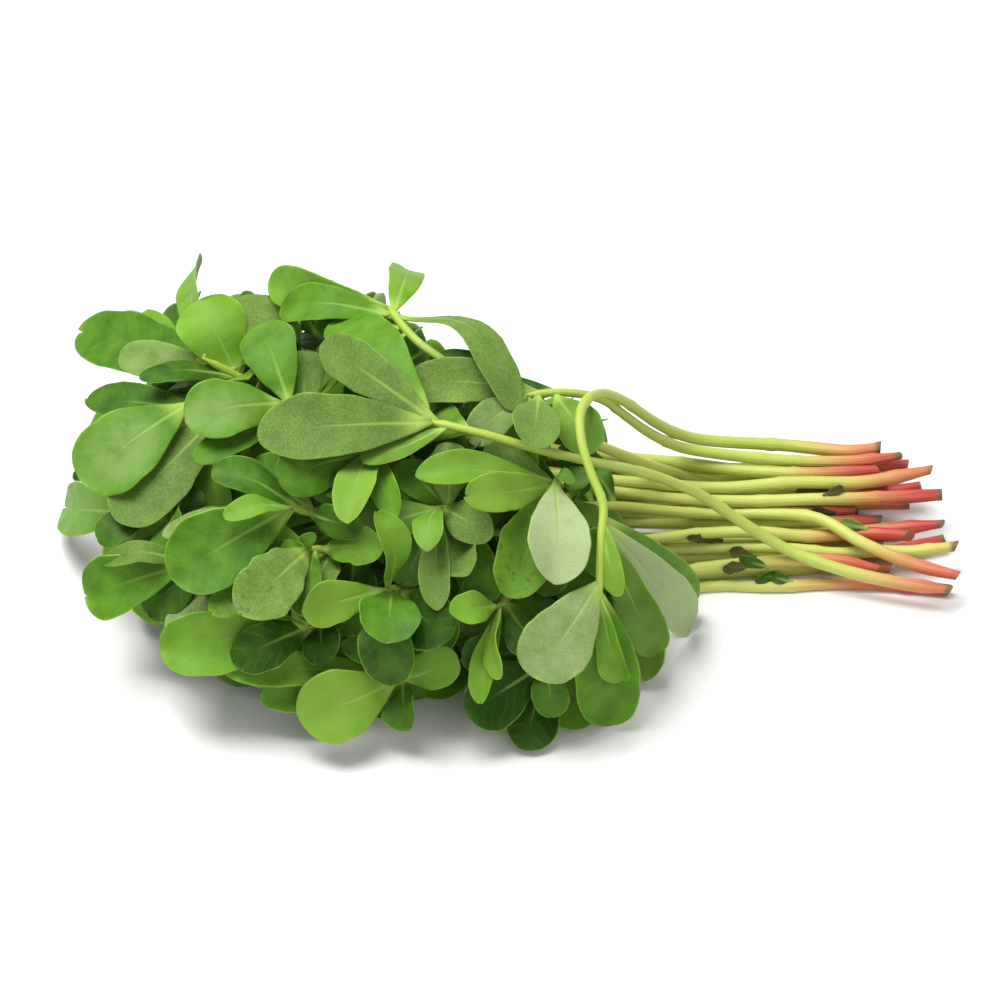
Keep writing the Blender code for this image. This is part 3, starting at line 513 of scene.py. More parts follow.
# %% The leaves that show
# One row a leaf that shows: how far back from the stem's tip it grows, its own tip (across, up, lift), its
# width, the turn about its length in degrees, how far its middle bows out, and how far its sides fold up in
# degrees.
SEEN_LEAVES = {
    "high_left": (
        (0, -90.5, 73, 2, 12, -45, 3, 26),
        (2, -124, 49, -8, 20, 0, 4, 6),
        (8, -113, 42, 6, 13, 0, 3, 8),
        (12, -89, 59.5, 9, 22, 0, 3, 6),
        (9, -70, 61, -4, 18, 0, 3, 6),
        (12, -106, 37, -2, 9, 25, 2, 10),
    ),
    "far_left": (
        (0, -122, 4, 7, 25, 0, 4, 6),
        (10, -111, -8, -5, 22, 0, 3, 4),
        (8, -121, 28, -4, 13, 25, 2, 10),
    ),
    "left_end": (
        (0, -134, -2, -2, 17, 0, 2, 10),
        (5, -118, -12, -6, 11, 20, 2, 6),
        (9, -94, -14, -9, 16, 10, 2, 6),
        (12, -92, 5, -9, 15, 10, 2, 6),
    ),
    "upper_left": (
        (0, -91.5, 24, 5, 20, 0, 3, -6),
        (3, -70, 51, 1, 17, 0, 3, 6),
        (6, -89, 10, -6, 11, 20, 2, 6),
        (9, -58, 44, -3, 13, 10, 2, 8),
    ),
    "crossing": (
        (0, -49, 56, 6, 19, 0, 5, 6),
        (3, -53, 47, 9, 14, -15, 5, 8),
        (1, -70.5, 19, 7, 21, 0, 4, 4),
        (6, -40, 11, 1, 11, 35, 2, 10),
    ),
    "top": (
        (0, -69, 65, 3, 14, -35, 5, 6),
        (3, -65, 56, -6, 13, 0, 3, 6),
        (6, -48, 60, -2, 9, 30, 3, 6),
        (2, -26.5, 72, 2, 11, 15, 2, 12),
        (3, 5.5, 28, 4, 15, -36, 12, 6),
        (10, -54, 51, -12, 10, 20, 2, 14),
        (4, -76, 62.5, -8, 10, 15, 2, 8),
    ),
    "top_right": (
        (0, -9, 18, 4, 12, 0, 3, 8),
        (3, -23, 40, -4, 14, 0, 3, 6),
        (6, -28, 34, -8, 15, 0, 3, 6),
        (4, 9, 13.5, 8, 15, 5, 3, 6),
        (9, 27, 14, 2, 15, 10, 3, 8),
        (12, -8, 32, -8, 12, 15, 3, 6),
    ),
    "hanging": (
        (22, 57, -39, 10, 15, 5, 4, 6),
        (24, 64, -35, -1, 15, 0, 3, 6),
        (20, 46, -44, 1, 14, 25, 3, 10),
        (23, 35, -28, 14, 8, 35, 2, 10),
        (0, 36, -52, 12, 12, 30, 3, 30),
        (2, 32, -65, 4, 20, 5, 3, 10),
        (5, 9, -51, 10, 21, 0, 4, 6),
    ),
    "middle_right": (
        (0, 16, -24, 8, 20, 0, 4, 6),
        (5, -11.5, 1, 8, 12, -15, 3, 12),
        (3, -24, 8, 4, 13, 30, 3, 16),
        (2, 2, -28, 1, 18, 0, 3, 8),
        (8, -5, 14, -2, 13, 25, 3, 6),
        (10, 14, -28, -7, 14, 10, 3, 6),
    ),
    "middle_left": (
        (0, -44, -6, 6, 13, 15, 3, 14),
        (2, -65, 6, 3, 16, 0, 2, 5),
        (5, -54, 27.5, 8, 10, 35, 2, 28),
        (1, -29, -5, 0, 10, 25, 2, 14),
        (10, -51, 1, -6, 14, 10, 2, 6),
    ),
    "middle": (
        (0, -21, -14, 5, 10, 30, 3, 20),
        (2, -3, -10, 3, 13, 0, 3, 10),
        (4, -9, -23, 0, 14, 10, 2, 12),
        (1, -19, -31, 3, 12, 20, 4, 20),
        (6, -14, 17, -2, 13, 0, 2, 8),
        (9, -30, 10, -8, 11, 10, 2, 8),
        (3, -29, -25, -1, 14, 10, 3, 8),
        (7, -2, -29, -3, 14, 10, 3, 8),
    ),
    "low_left": (
        (0, -95, -22, 7, 24, 0, 3, 8),
        (3, -98, -9, 4, 9, 25, 2, 6),
        (1, -80, -5, 6, 8, 30, 3, 8),
        (7, -40, -8, -4, 10, 20, 2, 6),
        (5, -84, 8, -4, 12, 20, 2, 6),
    ),
    "lower_left": (
        (0, -75, -33, 8, 18, 0, 6, 8),
        (3, -56, -34, 0, 11, 20, 2, 8),
        (6, -34, -13, 2, 12, -10, 2, 6),
        (4, -84, -34, -3, 11, 20, 2, 8),
    ),
    "left_foot": (
        (0, -121, -28, 3, 20, 0, 3, 6),
        (4, -116, -17, 2, 8, 30, 2, 8),
        (7, -104, -33, -4, 15, 10, 2, 6),
    ),
    "front_left": (
        (0, -99, -43, 3, 21, 0, 3, 6),
        (3, -79, -48, -4, 16, 12, 2, 6),
        (6, -50, -47, -3, 13, 15, 2, 6),
    ),
    "front_middle": (
        (0, -59, -32, 5, 15, 0, 3, 8),
        (2, -34, -4, 8, 13, 40, 4, 26),
        (4, -33, -42, 7, 19, 0, 4, 6),
        (6, -31, -54, 0, 18, 5, 3, 6),
        (8, -14, -41, 2, 18, 10, 3, 8),
    ),
    "front_foot": (
        (0, -58, -63, 4, 22, 0, 3, 6),
        (3, -25, -67, 3, 14, 35, 2, 34),
        (6, -81, -50, -3, 12, 30, 2, 8),
        (9, -70, -58, -6, 12, 10, 2, 6),
        (12, -45, -42, -4, 10, 20, 2, 10),
    ),
    "front": (
        (0, -14, -32.5, 6, 10, 15, 2, 10),
        (2, 1, -52, 9, 9, 60, 3, 8),
        (4, -6, -59, 6, 9, 30, 5, 14),
        (6, 12, -44, -4, 14, 10, 2, 8),
    ),
    "front_right": (
        (0, -10, -62, 5, 20, 0, 3, 12),
        (2, 15, -64, 6, 11, 10, 3, 10),
        (4, 7, -73, 2, 17, 0, 2, 5),
        (6, 24, -67, -5, 15, 0, 2, 5),
        (9, -12, -46, -4, 13, 20, 2, 6),
    ),
    "right_foot": ((0, 42, -55, -5, 18, 10, 3, 6), (8, 40, -38, -6, 16, 0, 3, 6)),
}

# How each of those leaves looks, one letter a row of SEEN_LEAVES, as LEAF_LOOKS says.
SEEN_LOOKS = {
    "high_left": "bmpbgd",
    "far_left": "hgd",
    "left_end": "bddd",
    "upper_left": "hmmg",
    "crossing": "mggo",
    "top": "bmdbgmg",
    "top_right": "pdggod",
    "hanging": "qboybmp",
    "middle_right": "qyvwgg",
    "middle_left": "ymybd",
    "middle": "vgsgsmdd",
    "low_left": "mpvdd",
    "lower_left": "smww",
    "left_foot": "mgd",
    "front_left": "bnn",
    "front_middle": "ybmdn",
    "front_foot": "ydbmd",
    "front": "bybd",
    "front_right": "ndnmd",
    "right_foot": "od",
}

# Each look: whether the underside shows (1), how light it is (-1 to 1), and from 0 to 1 how yellow, how
# bruised (or withered, at 2) and how hazy with wax it is. The dark looks are painted shade, for leaves that
# lie in shade. A few are darker than -1: painted deep shade, and the dried-up and limp scraps.
LEAF_LOOKS = {
    "m": (0, 0.0, 0.0, 0.0, 0.15),  # plain green
    "b": (0, 0.5, 0.1, 0.0, 0.25),  # bright
    # Painted shade: the dark look is for leaves that lie in shade.
    "d": (0, -0.55, 0.0, 0.0, 0.1),  # dark
    # Painted deep shade: the darkest look is for leaves deep in shade.
    "n": (0, -1.1, 0.0, 0.0, 0.0),  # darkest
    "h": (0, 0.0, 0.0, 0.0, 0.9),  # hazy with wax
    "y": (0, 0.55, 0.55, 0.0, 0.3),  # yellowish
    "v": (0, 0.25, 0.3, 0.0, 0.3),  # light
    "o": (0, -0.4, 0.4, 0.0, 0.2),  # olive
    "w": (0, -0.1, 0.1, 0.8, 0.3),  # withering
    "g": (1, -0.35, 0.0, 0.0, 0.0),  # underside
    "p": (1, 0.35, 0.0, 0.0, 0.0),  # pale underside
    "q": (1, 1.0, 0.0, 0.0, 0.0),  # palest underside
    "s": (1, 0.0, 0.0, 0.8, 0.0),  # withering underside
    "x": (0, -1.6, 0.0, 2.0, 0.0),  # dried up
    "k": (0, -1.3, 0.1, 0.7, 0.0),  # dark and limp
}

assert all(len(rows) == len(SEEN_LOOKS[name]) for name, rows in SEEN_LEAVES.items())
print("leaves that show:", sum(len(rows) for rows in SEEN_LEAVES.values()))

# %% [markdown]
# ## A leaf as a few triangles
# To find out whether a leaf has room, a rough form of it is enough: a strip that is narrow at its root,
# widest past its middle and round at its tip, bowed along its length and folded along its midrib. The
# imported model's leaves have just this form.

# %% Rough leaves
LEAF_THICKNESS = 1.0
LEAF_ROWS = (0.0, 0.22, 0.58, 0.88, 1.0)
LEAF_TAPER = 0.75  # the less, the faster a leaf widens from its root
LEAF_ROUND = 2.4  # the more, the blunter its tip


def half_width(s, width):
    """Half the width of a spoon-shaped leaf at a share of its length."""
    widest = (LEAF_TAPER / (LEAF_TAPER + LEAF_ROUND / 2)) ** (1 / LEAF_ROUND)
    peak = widest**LEAF_TAPER * math.sqrt(1 - widest**LEAF_ROUND)
    share = s**LEAF_TAPER * math.sqrt(max(0.0, 1 - s**LEAF_ROUND)) / peak
    return width / 2 * share


def leaf_rows(leaf):
    """The rows of points of a leaf's middle surface, from its root in the stem to its tip."""
    root, tip, facing, width, turn, bow, fold = leaf
    along = unit(tip - root)
    face = unit(facing - along * np.dot(facing, along))
    side = np.cross(along, face)
    face, side = face * math.cos(turn) + side * math.sin(turn), side * math.cos(turn) - face * math.sin(turn)
    rows = []
    for s in LEAF_ROWS:
        centre = root * (1 - s) + tip * s + face * 4 * bow * s * (1 - s) * (0.6 + 0.8 * s)
        half = half_width(s, width)
        lift = face * half * math.sin(fold) * min(1, s * 1.5)
        edge = side * half * math.cos(fold)
        if s in (LEAF_ROWS[0], LEAF_ROWS[-1]):
            row = [centre]
        elif s == LEAF_ROWS[1]:
            row = [centre - edge, centre + edge]
        else:
            row = [centre - edge + lift, centre, centre + edge + lift]
        for point in row:
            point[2] = max(point[2], LEAF_THICKNESS / 2)
        rows.append(row)
    return rows


def leaf_faces(rows):
    """The corners and triangles of a leaf's middle surface: one root, two, three, three and one tip."""
    points = [point for row in rows for point in row]
    faces = [(0, 1, 2), (1, 3, 4), (1, 4, 2), (2, 4, 5)]
    faces += [(3, 6, 7), (3, 7, 4), (4, 7, 5), (7, 8, 5)]
    faces += [(6, 9, 7), (7, 9, 8)]
    return np.array(points), faces


print("points in a rough leaf:", sum((1, 2, 3, 3, 1)))

# %% [markdown]
# ## Search trees
# To ask hundreds of thousands of times whether two leaves touch, Blender's Boolean modifier would be far
# too slow. A BVH tree sorts a shape's triangles into boxes within boxes and answers at once. Both faces of
# a leaf, moved out by half its thickness, go into one tree.

# %% Search trees for leaves and stems
TUBE_SIDES = 8
STEM_MARGIN = 0.05  # how much thicker a stem counts than it is


def thick_tree(points, faces, half):
    """A search tree of both faces of a thin sheet, moved out by half its thickness."""
    normals = np.zeros_like(points)
    for a, b, c in faces:
        normal = np.cross(points[b] - points[a], points[c] - points[a])
        for corner in (a, b, c):
            normals[corner] += normal
    normals /= np.maximum(np.linalg.norm(normals, axis=1), 1e-9)[:, None]
    sheet = np.vstack([points + normals * half, points - normals * half])
    count = len(points)
    triangles = list(faces) + [(a + count, b + count, c + count) for a, b, c in faces]
    edges = {}
    for face in faces:
        for a, b in zip(face, face[1:] + face[:1]):
            edges[(min(a, b), max(a, b))] = edges.get((min(a, b), max(a, b)), 0) + 1
    for (a, b), uses in edges.items():
        if uses == 1:
            triangles += [(a, b, b + count), (a, b + count, a + count)]
    return BVHTree.FromPolygons(sheet.tolist(), triangles), sheet.min(axis=0), sheet.max(axis=0)


def tube_tree(path, radii, grow):
    """A search tree of a stem's surface, grown by a margin."""
    points = []
    faces = []
    for i, centre in enumerate(path):
        ahead = unit(path[min(i + 1, len(path) - 1)] - path[max(i - 1, 0)])
        across = unit(np.cross(ahead, np.array([0.1, 0.2, 1.0])))
        other = np.cross(ahead, across)
        for k in range(TUBE_SIDES):
            angle = 2 * math.pi * k / TUBE_SIDES
            points.append(centre + (radii[i] + grow) * (across * math.cos(angle) + other * math.sin(angle)))
    for i in range(len(path) - 1):
        for k in range(TUBE_SIDES):
            a = i * TUBE_SIDES + k
            b = i * TUBE_SIDES + (k + 1) % TUBE_SIDES
            faces += [(a, b, b + TUBE_SIDES), (a, b + TUBE_SIDES, a + TUBE_SIDES)]
    points = np.array(points)
    return BVHTree.FromPolygons(points.tolist(), faces), points.min(axis=0), points.max(axis=0)


class Placed:
    """What is already in the bunch, for asking whether a new leaf would touch it."""

    def __init__(self):
        self.owners = []
        self.trees = []
        self.low = np.zeros((0, 3))
        self.high = np.zeros((0, 3))

    def add(self, owner, tree, low, high):
        self.owners.append(owner)
        self.trees.append(tree)
        self.low = np.vstack([self.low, low])
        self.high = np.vstack([self.high, high])

    def clear(self, owner, tree, low, high, skip_own):
        near = np.all(self.low <= high, axis=1) & np.all(self.high >= low, axis=1)
        for i in np.nonzero(near)[0]:
            if skip_own and self.owners[i] == owner:
                continue
            if self.trees[i].overlap(tree):
                return False
        return True


others = Placed()
own = {name: Placed() for name in paths}
for name, path in paths.items():
    others.add(name, *tube_tree(path, stem_radii(len(path)), STEM_MARGIN))
print("search trees of stems:", len(others.trees))

# %% [markdown]
# ## Is there room for a leaf?
# Real leaves push each other aside. Here a leaf stays only where it touches nothing, which is simpler and
# gives the same loose heap. A new leaf, a little thicker than it is, is held against all other stems and
# their leaves. It may touch its own stem, and the other leaves there within its stalk.

# %% Ask whether a leaf has room
CLEARANCE = 0.35
OWN_CLEARANCE = 0.1  # between the leaves of one stem
FREE_STALK = 0.12  # the share of a leaf that may touch the other leaves of its stem
TIP_INSET = 0.8  # how far short of its stem's very end a leaf may start
AHEAD_STEP = 4  # the stretch of a stem, to either side of a point, that tells which way it runs there


def root_on(path, back):
    """The point a given way back from a stem's tip, on its middle line."""
    lengths = np.concatenate([[0], np.cumsum(np.linalg.norm(np.diff(path, axis=0), axis=1))])
    place = max(lengths[-1] - back - TIP_INSET, 0)
    return np.array([np.interp(place, lengths, path[:, axis]) for axis in range(3)])


def run_at(path, back):
    """The way that a stem runs, a given way back from its tip."""
    return unit(root_on(path, max(back - AHEAD_STEP, 0)) - root_on(path, back + AHEAD_STEP))


def level_side(ahead):
    """The level direction square to the way that a stem runs."""
    return unit(np.cross(ahead, np.array([0.0, 0.0, 1.0])))


def outer_part(rows):
    """A leaf without the first of its stalk, for telling whether leaves of the same stem cross."""
    neck = (rows[1][0] + rows[1][1]) / 2
    return leaf_faces([[rows[0][0] + (neck - rows[0][0]) * FREE_STALK / LEAF_ROWS[1]]] + rows[1:])


def fits(name, leaf, others, own):
    """Whether a leaf clears the other stems, and the leaves of its own stem beyond its stalk."""
    rows = leaf_rows(leaf)
    if not others.clear(name, *thick_tree(*leaf_faces(rows), LEAF_THICKNESS / 2 + CLEARANCE), True):
        return False
    return own.clear(name, *thick_tree(*outer_part(rows), LEAF_THICKNESS / 2), False)


def keep(name, leaf, look, others, own, leaves):
    """Adds a leaf to the bunch."""
    rows = leaf_rows(leaf)
    others.add(name, *thick_tree(*leaf_faces(rows), LEAF_THICKNESS / 2))
    own[name].add(name, *thick_tree(*outer_part(rows), LEAF_THICKNESS / 2 + OWN_CLEARANCE))
    leaves[name].append((leaf, look))


print("clearance between leaves:", CLEARANCE, "mm")

# %% [markdown]
# ## Placing the leaves that show
# They give the bunch its face, so they come first, the nearest of them before the others. Each keeps its
# place in the view. Where it has no room, it is tried further back, nearer, turned, bowed or smaller, the
# least change first. The other order, all turns first, made thin strips of the leaves.

# %% Place the leaves that show
# How a leaf that shows may move until it is clear: its size, its lift, its turn and its bow.
SEEN_SIZES = (1.0, 0.95, 0.9)
NUDGES = (0, -2, 2, -4, 4, -6, -8, 6, -11, -14, 9, -18, -23, -28)
MORE_TURNS = (0, 14, -14, 28, -28, 45, -45)
MORE_BOWS = (0, 3, -3)
# How much a leaf is changed by losing its whole size, and by a millimetre of lift, a degree of turn and a
# millimetre of bow.
SIZE_STRAIN = 15.0
LIFT_STRAIN = 0.25
TURN_STRAIN = 0.125
BOW_STRAIN = 0.33
SEEN_FACING = (0.6, 0.4)  # how much such a leaf faces the view, and how much the way of the heap's skin
ROOT_OFFSET = 0.4  # how far out of its stem's middle a leaf starts, as a share of the slim stem's radius


def strain(change):
    """How far a change takes a leaf from its place in the view: the least is tried first."""
    size, nudge, more_turn, more_bow = change
    moved = abs(nudge) * LIFT_STRAIN + abs(more_turn) * TURN_STRAIN + abs(more_bow) * BOW_STRAIN
    return (1 - size) * SIZE_STRAIN + moved


def place_seen(name, row, look, path, others, own, leaves):
    """Places a leaf that shows, at its place in the view, with the least change that makes it clear."""
    back, across, up, lift, width, turn, bow, fold = row
    middle = root_on(path, back)
    changes = itertools.product(SEEN_SIZES, NUDGES, MORE_TURNS, MORE_BOWS)
    for size, nudge, more_turn, more_bow in sorted(changes, key=strain):
        tip = on_skin(across, up, lift + nudge)
        root = middle + unit(tip - middle) * ROOT_OFFSET * STEM_TIP_RADIUS
        tip = root + (tip - root) * size
        facing = unit(SEEN_FACING[0] * TOWARDS_VIEW + SEEN_FACING[1] * outward(tip))
        bend = (width * size**2, math.radians(turn + more_turn), bow + more_bow, math.radians(fold))
        leaf = (root, tip, facing, *bend)
        if fits(name, leaf, others, own[name]):
            keep(name, leaf, look, others, own, leaves)
            return


def place_all_seen(paths, others, own):
    """The leaves that show, by stem, placed from the front backwards."""
    leaves = {name: [] for name in paths}
    rows = []
    for name in SEEN_LEAVES:
        rows += [(name, row, look) for row, look in zip(SEEN_LEAVES[name], SEEN_LOOKS[name])]
    for name, row, look in sorted(rows, key=lambda entry: -entry[1][3]):
        place_seen(name, row, look, paths[name], others, own, leaves)
    return leaves


def tree_of(leaves):
    """A search tree of the middle surfaces of leaves."""
    points = []
    faces = []
    for name in leaves:
        for leaf, _ in leaves[name]:
            corners, triangles = leaf_faces(leaf_rows(leaf))
            faces += [tuple(i + len(points) for i in triangle) for triangle in triangles]
            points += corners.tolist()
    return BVHTree.FromPolygons(points, faces)


leaves = place_all_seen(paths, others, own)
shown = tree_of(leaves)
print("leaves that show, placed:", sum(len(rows) for rows in leaves.values()))

# %% [markdown]
# ## Growing the rest by rule
# Purslane's leaves grow in pairs, and each pair stands across the next. Nothing shows how the leaves at the
# back and inside lie, so this rule grows them down every stem. A leaf is left out where it has no room,
# would stand out of the heap or would hide one that shows.

# %% Grow crossed pairs of leaves
# The crossed pairs of leaves that grow by rule from every stem, and how each may bend until it is clear.
PAIR_STEP = 11.0
PAIR_COUNT = 4
BACK_PAIR_COUNT = 7
PITCHES = (50, 35, 65, 80, 20, 95)
YAWS = (0, 25, -25, 50, -50, 75, -75)
RULE_BOW = 3.0
RULE_FOLD = math.radians(7)
LEAF_LENGTHS = (26.0, 32.0, 36.0, 36.0, 33.0)
LEAF_SHAPE = 0.6  # width over length
SMALLER = (1.0, 0.82, 0.64)  # the sizes tried where there is little room
RULE_FACING = (0.55, 0.45)  # how much such a leaf faces the way of the heap's skin, and how much ahead
# Its dark letters paint shade on leaves that lie behind and inside the heap.
RULE_LOOKS = "mmmmbbdddhhovgp"  # drawn from for the leaves that grow by rule
HEAP_CORE = 0.4  # how deep inside the heap its tip may be, as outside() tells it
HEAP_EDGE = 1.12  # and how far outside the heap's skin it may reach
# The outline that it stays inside, as seen: across and up, along its top and its foot.
OUTLINE_ACROSS = (-134, -128, -124, -112, -95, -82, -60, -44, -30, -22, -10, 4, 32, 37, 50, 66)
OUTLINE_TOP = (3, 5, 46, 58, 62, 63, 64, 66, 64, 50, 41, 32, 26, -8, -20, -29)
OUTLINE_FOOT = (-8, -11, -20, -37, -50, -54, -64, -69, -66, -64, -66, -70, -66, -62, -50, -36)


def in_front(leaf, shown):
    """Whether a leaf would hide one that shows."""
    points, _ = leaf_faces(leaf_rows(leaf))
    ray = Vector((-TOWARDS_VIEW).tolist())
    return any(shown.ray_cast(Vector(point.tolist()), ray)[0] is not None for point in points[2:])


def in_outline(leaf, core=HEAP_CORE):
    """Whether a leaf stays near the heap's skin and inside it, and inside the heap's outline as seen."""
    if outside(leaf[1]) < core:
        return False
    for point in leaf_faces(leaf_rows(leaf))[0]:
        across = point @ ACROSS
        up = point @ UP
        if outside(point) > HEAP_EDGE or not OUTLINE_ACROSS[0] < across < OUTLINE_ACROSS[-1]:
            return False
        if up > np.interp(across, OUTLINE_ACROSS, OUTLINE_TOP):
            return False
        if up < np.interp(across, OUTLINE_ACROSS, OUTLINE_FOOT):
            return False
    return True


def rule_leaf(root, direction, length, width, pitch, yaw, ahead):
    """A leaf that grows from a stem at a pitch from its run, in a direction round it."""
    sideways = unit(direction - ahead * np.dot(direction, ahead))
    swing = unit(np.cross(ahead, sideways))
    aim = unit(ahead * math.cos(pitch) + (sideways * math.cos(yaw) + swing * math.sin(yaw)) * math.sin(pitch))
    root = root + aim * ROOT_OFFSET * STEM_TIP_RADIUS
    tip = root + aim * length
    facing = unit(RULE_FACING[0] * outward(tip) + RULE_FACING[1] * ahead)
    return (root, tip, facing, width, 0.0, RULE_BOW, RULE_FOLD)


def place_bent(name, root, direction, length, look, ahead, others, own, leaves, shown):
    """Places a leaf that grows by rule, at the first size, pitch and yaw that are clear."""
    sizes = SMALLER if name in BACK_TIPS else SMALLER[:2]
    for size, pitch, yaw in itertools.product(sizes, PITCHES, YAWS):
        long = length * size
        angles = math.radians(pitch), math.radians(yaw)
        leaf = rule_leaf(root, direction, long, long * LEAF_SHAPE, *angles, ahead)
        if leaf[1][2] < LEAF_THICKNESS / 2 or not in_outline(leaf) or in_front(leaf, shown):
            continue
        if fits(name, leaf, others, own[name]):
            keep(name, leaf, look, others, own, leaves)
            return


def place_by_rule(name, path, pairs, others, own, leaves, shown, draw):
    """Grows crossed pairs of leaves down a stem, each leaf bent until it is clear or else left out."""
    for pair in range(pairs):
        back = 1.0 + pair * PAIR_STEP
        root = root_on(path, back)
        ahead = run_at(path, back)
        first = level_side(ahead)
        second = np.cross(ahead, first)
        length = LEAF_LENGTHS[min(pair, len(LEAF_LENGTHS) - 1)]
        for sign in (1, -1):
            direction = sign * (first if pair % 2 else second)
            look = draw.choice(RULE_LOOKS)
            place_bent(name, root, direction, length, look, ahead, others, own, leaves, shown)


draw = random.Random(7)
for name in (*BACK_TIPS, *ROUTES):
    pairs = BACK_PAIR_COUNT if name in BACK_TIPS else PAIR_COUNT
    place_by_rule(name, paths[name], pairs, others, own, leaves, shown, draw)
print("leaves:", sum(len(rows) for rows in leaves.values()))

# %% [markdown]
# ## Young leaves
# A purslane stem ends in a tuft of small leaves round its bud, and young leaves sprout from the joints
# below. They close the last gaps in the heap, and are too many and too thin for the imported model. Each is
# tried at a few angles, drawn with a fixed seed, and left out if it has no room.

# %% Place the young leaves
YOUNG_TRIES = 7
TUFT = ((0.4, 9.0), (0.4, 9.0))  # how far from the tip, and how long
JOINTS = range(6, 92, 9)
YOUNG_LENGTHS = (15, 24)
YOUNG_SIZES = (0.8, 1.1)
YOUNG_PITCHES = (25, 85)
YOUNG_YAWS = (-70, 70)
YOUNG_SHAPE = 0.56  # width over length
# The dark letters paint shade on young leaves deep in the gaps.
YOUNG_LOOKS = "mmddhhv"
YOUNG_CORE = 0.03  # how deep inside the heap their tips may be


def place_young(name, path, back, length, direction, draw, young):
    """Tries a few angles for one young leaf at a place on a stem."""
    root = root_on(path, back)
    ahead = run_at(path, back)
    for _ in range(YOUNG_TRIES):
        pitch = math.radians(draw.uniform(*YOUNG_PITCHES))
        yaw = math.radians(draw.uniform(*YOUNG_YAWS))
        long = length * draw.uniform(*YOUNG_SIZES)
        leaf = rule_leaf(root, direction(ahead), long, long * YOUNG_SHAPE, pitch, yaw, ahead)
        if leaf[1][2] < LEAF_THICKNESS / 2 or not in_outline(leaf, YOUNG_CORE) or in_front(leaf, shown):
            continue
        if fits(name, leaf, others, own[name]):
            keep(name, leaf, draw.choice(YOUNG_LOOKS), others, own, young)
            return


def around(angle):
    """A way to find the direction at an angle round a stem from the way that the stem runs."""

    def direction(ahead):
        first = level_side(ahead)
        return first * math.cos(angle) + np.cross(ahead, first) * math.sin(angle)

    return direction


def place_all_young(paths):
    draw = random.Random(11)
    young = {name: [] for name in paths}
    for name, path in paths.items():
        turn = draw.uniform(0, math.pi)
        for i, (back, length) in enumerate(TUFT):
            place_young(name, path, back, length, around(turn + i * math.pi / 2), draw, young)
        for back in JOINTS:
            turn += math.pi / 2
            for opposite in (0, math.pi):
                length = draw.uniform(*YOUNG_LENGTHS)
                place_young(name, path, back, length, around(turn + opposite), draw, young)
    return young


young = place_all_young(paths)
print("young leaves:", sum(len(rows) for rows in young.values()))

# %% [markdown]
# ## Withered scraps
# A few small leaves low on the stems have dried and cling to them. So few are quickest given one by one:
# where the root and the tip of each are seen. It lies on the stem that shows at its root, and reaches over to
# what shows at its tip.

# %% Place the withered scraps
# One row for each scrap: where its root and its tip are seen (across, up), its width and its look.
SCRAPS = (
    (101.5, 2.6, 88, 2.2, 4.5, "x"),
    (96, 1.0, 102, 3.6, 3, "x"),
    (109.5, -8.6, 101.5, -6.4, 3.5, "g"),
    (100, -4.0, 93, -3.0, 2.5, "x"),
    (87, -24.5, 80, -22.5, 4, "k"),
    (83, -21.5, 75, -24.0, 3.5, "k"),
    (80, -20.0, 71, -17.5, 4, "k"),
    (76, -17.0, 68, -15.0, 4, "x"),
    (74, -19.5, 66, -20.5, 4, "x"),
    (66, -12.0, 54, -11.0, 3, "x"),
)
SCRAP_SINK = 0.5  # how deep a scrap's root is in the stem
SCRAP_LIFT = 0.9  # how high its tip stands off what it reaches over
SCRAP_DROP = 3  # how much lower than its root its tip may be
SCRAP_BOW = 1.2
SCRAP_FOLD = math.radians(20)


def front_stem(across, up, paths):
    """The stem that shows at a place in the view, and how far towards the view its skin is there."""
    shares = np.linspace(0, 1, 12)[:, None]  # a dozen points to each part of a stem are near enough
    nearest = (None, -math.inf)
    for name, path in paths.items():
        for start, end, radius in zip(path[:-1], path[1:], stem_radii(len(path))):
            points = start * (1 - shares) + end * shares
            off = np.hypot(points @ ACROSS - across, points @ UP - up)
            i = int(np.argmin(off))
            if off[i] < radius:
                depth = points[i] @ TOWARDS_VIEW + math.sqrt(radius**2 - off[i] ** 2)
                nearest = max(nearest, (name, depth), key=lambda found: found[1])
    return nearest


def place_scraps(paths):
    scraps = {name: [] for name in paths}
    for across, up, tip_across, tip_up, width, look in SCRAPS:
        name, depth = front_stem(across, up, paths)
        if name is None:
            continue
        tip_depth = max(front_stem(tip_across, tip_up, paths)[1], depth - SCRAP_DROP) + SCRAP_LIFT
        root = seen(across, up, depth - SCRAP_SINK)
        tip = seen(tip_across, tip_up, tip_depth)
        scraps[name].append(((root, tip, TOWARDS_VIEW, width, 0.0, SCRAP_BOW, SCRAP_FOLD), look))
    return scraps


scraps = place_scraps(paths)
print("withered scraps:", sum(len(rows) for rows in scraps.values()))

# %% [markdown]
# ## A skeleton for each leafy stem
# Geometry Nodes need to know where to grow what. Each leafy stem gets a skeleton: the stem's points joined
# by edges, and one loose point for each leaf. Attributes on the points carry what differs from leaf to
# leaf: how far and which way it reaches, its width, its bend, and its colours. A modifier's inputs couldn't
# carry them, because they are the same for all leaves of a stem.

# %% Build the skeletons
# How red a lane's stem is at its cut end (0 to 1), and over what length it turns.
CUT_REDS = {
    0: (1.0, 48), 1: (0.6, 30), 2: (0.15, 10), 3: (1.0, 34), 4: (0.6, 28), 5: (0.85, 32), 6: (0.45, 28),
    7: (0.75, 26), 8: (0.65, 28), 9: (0.4, 24), 10: (0.5, 28), 12: (1.0, 34), 19: (0.8, 34), 23: (1.0, 28),
    27: (0.7, 22),
}
FULL_LEAF = 1.0  # the two kinds of loose points, which get a finer and a plainer tube
YOUNG_LEAF = 2.0
SHOWN_EASE = 0.65  # a leaf that has a row of its own differs less from its plan

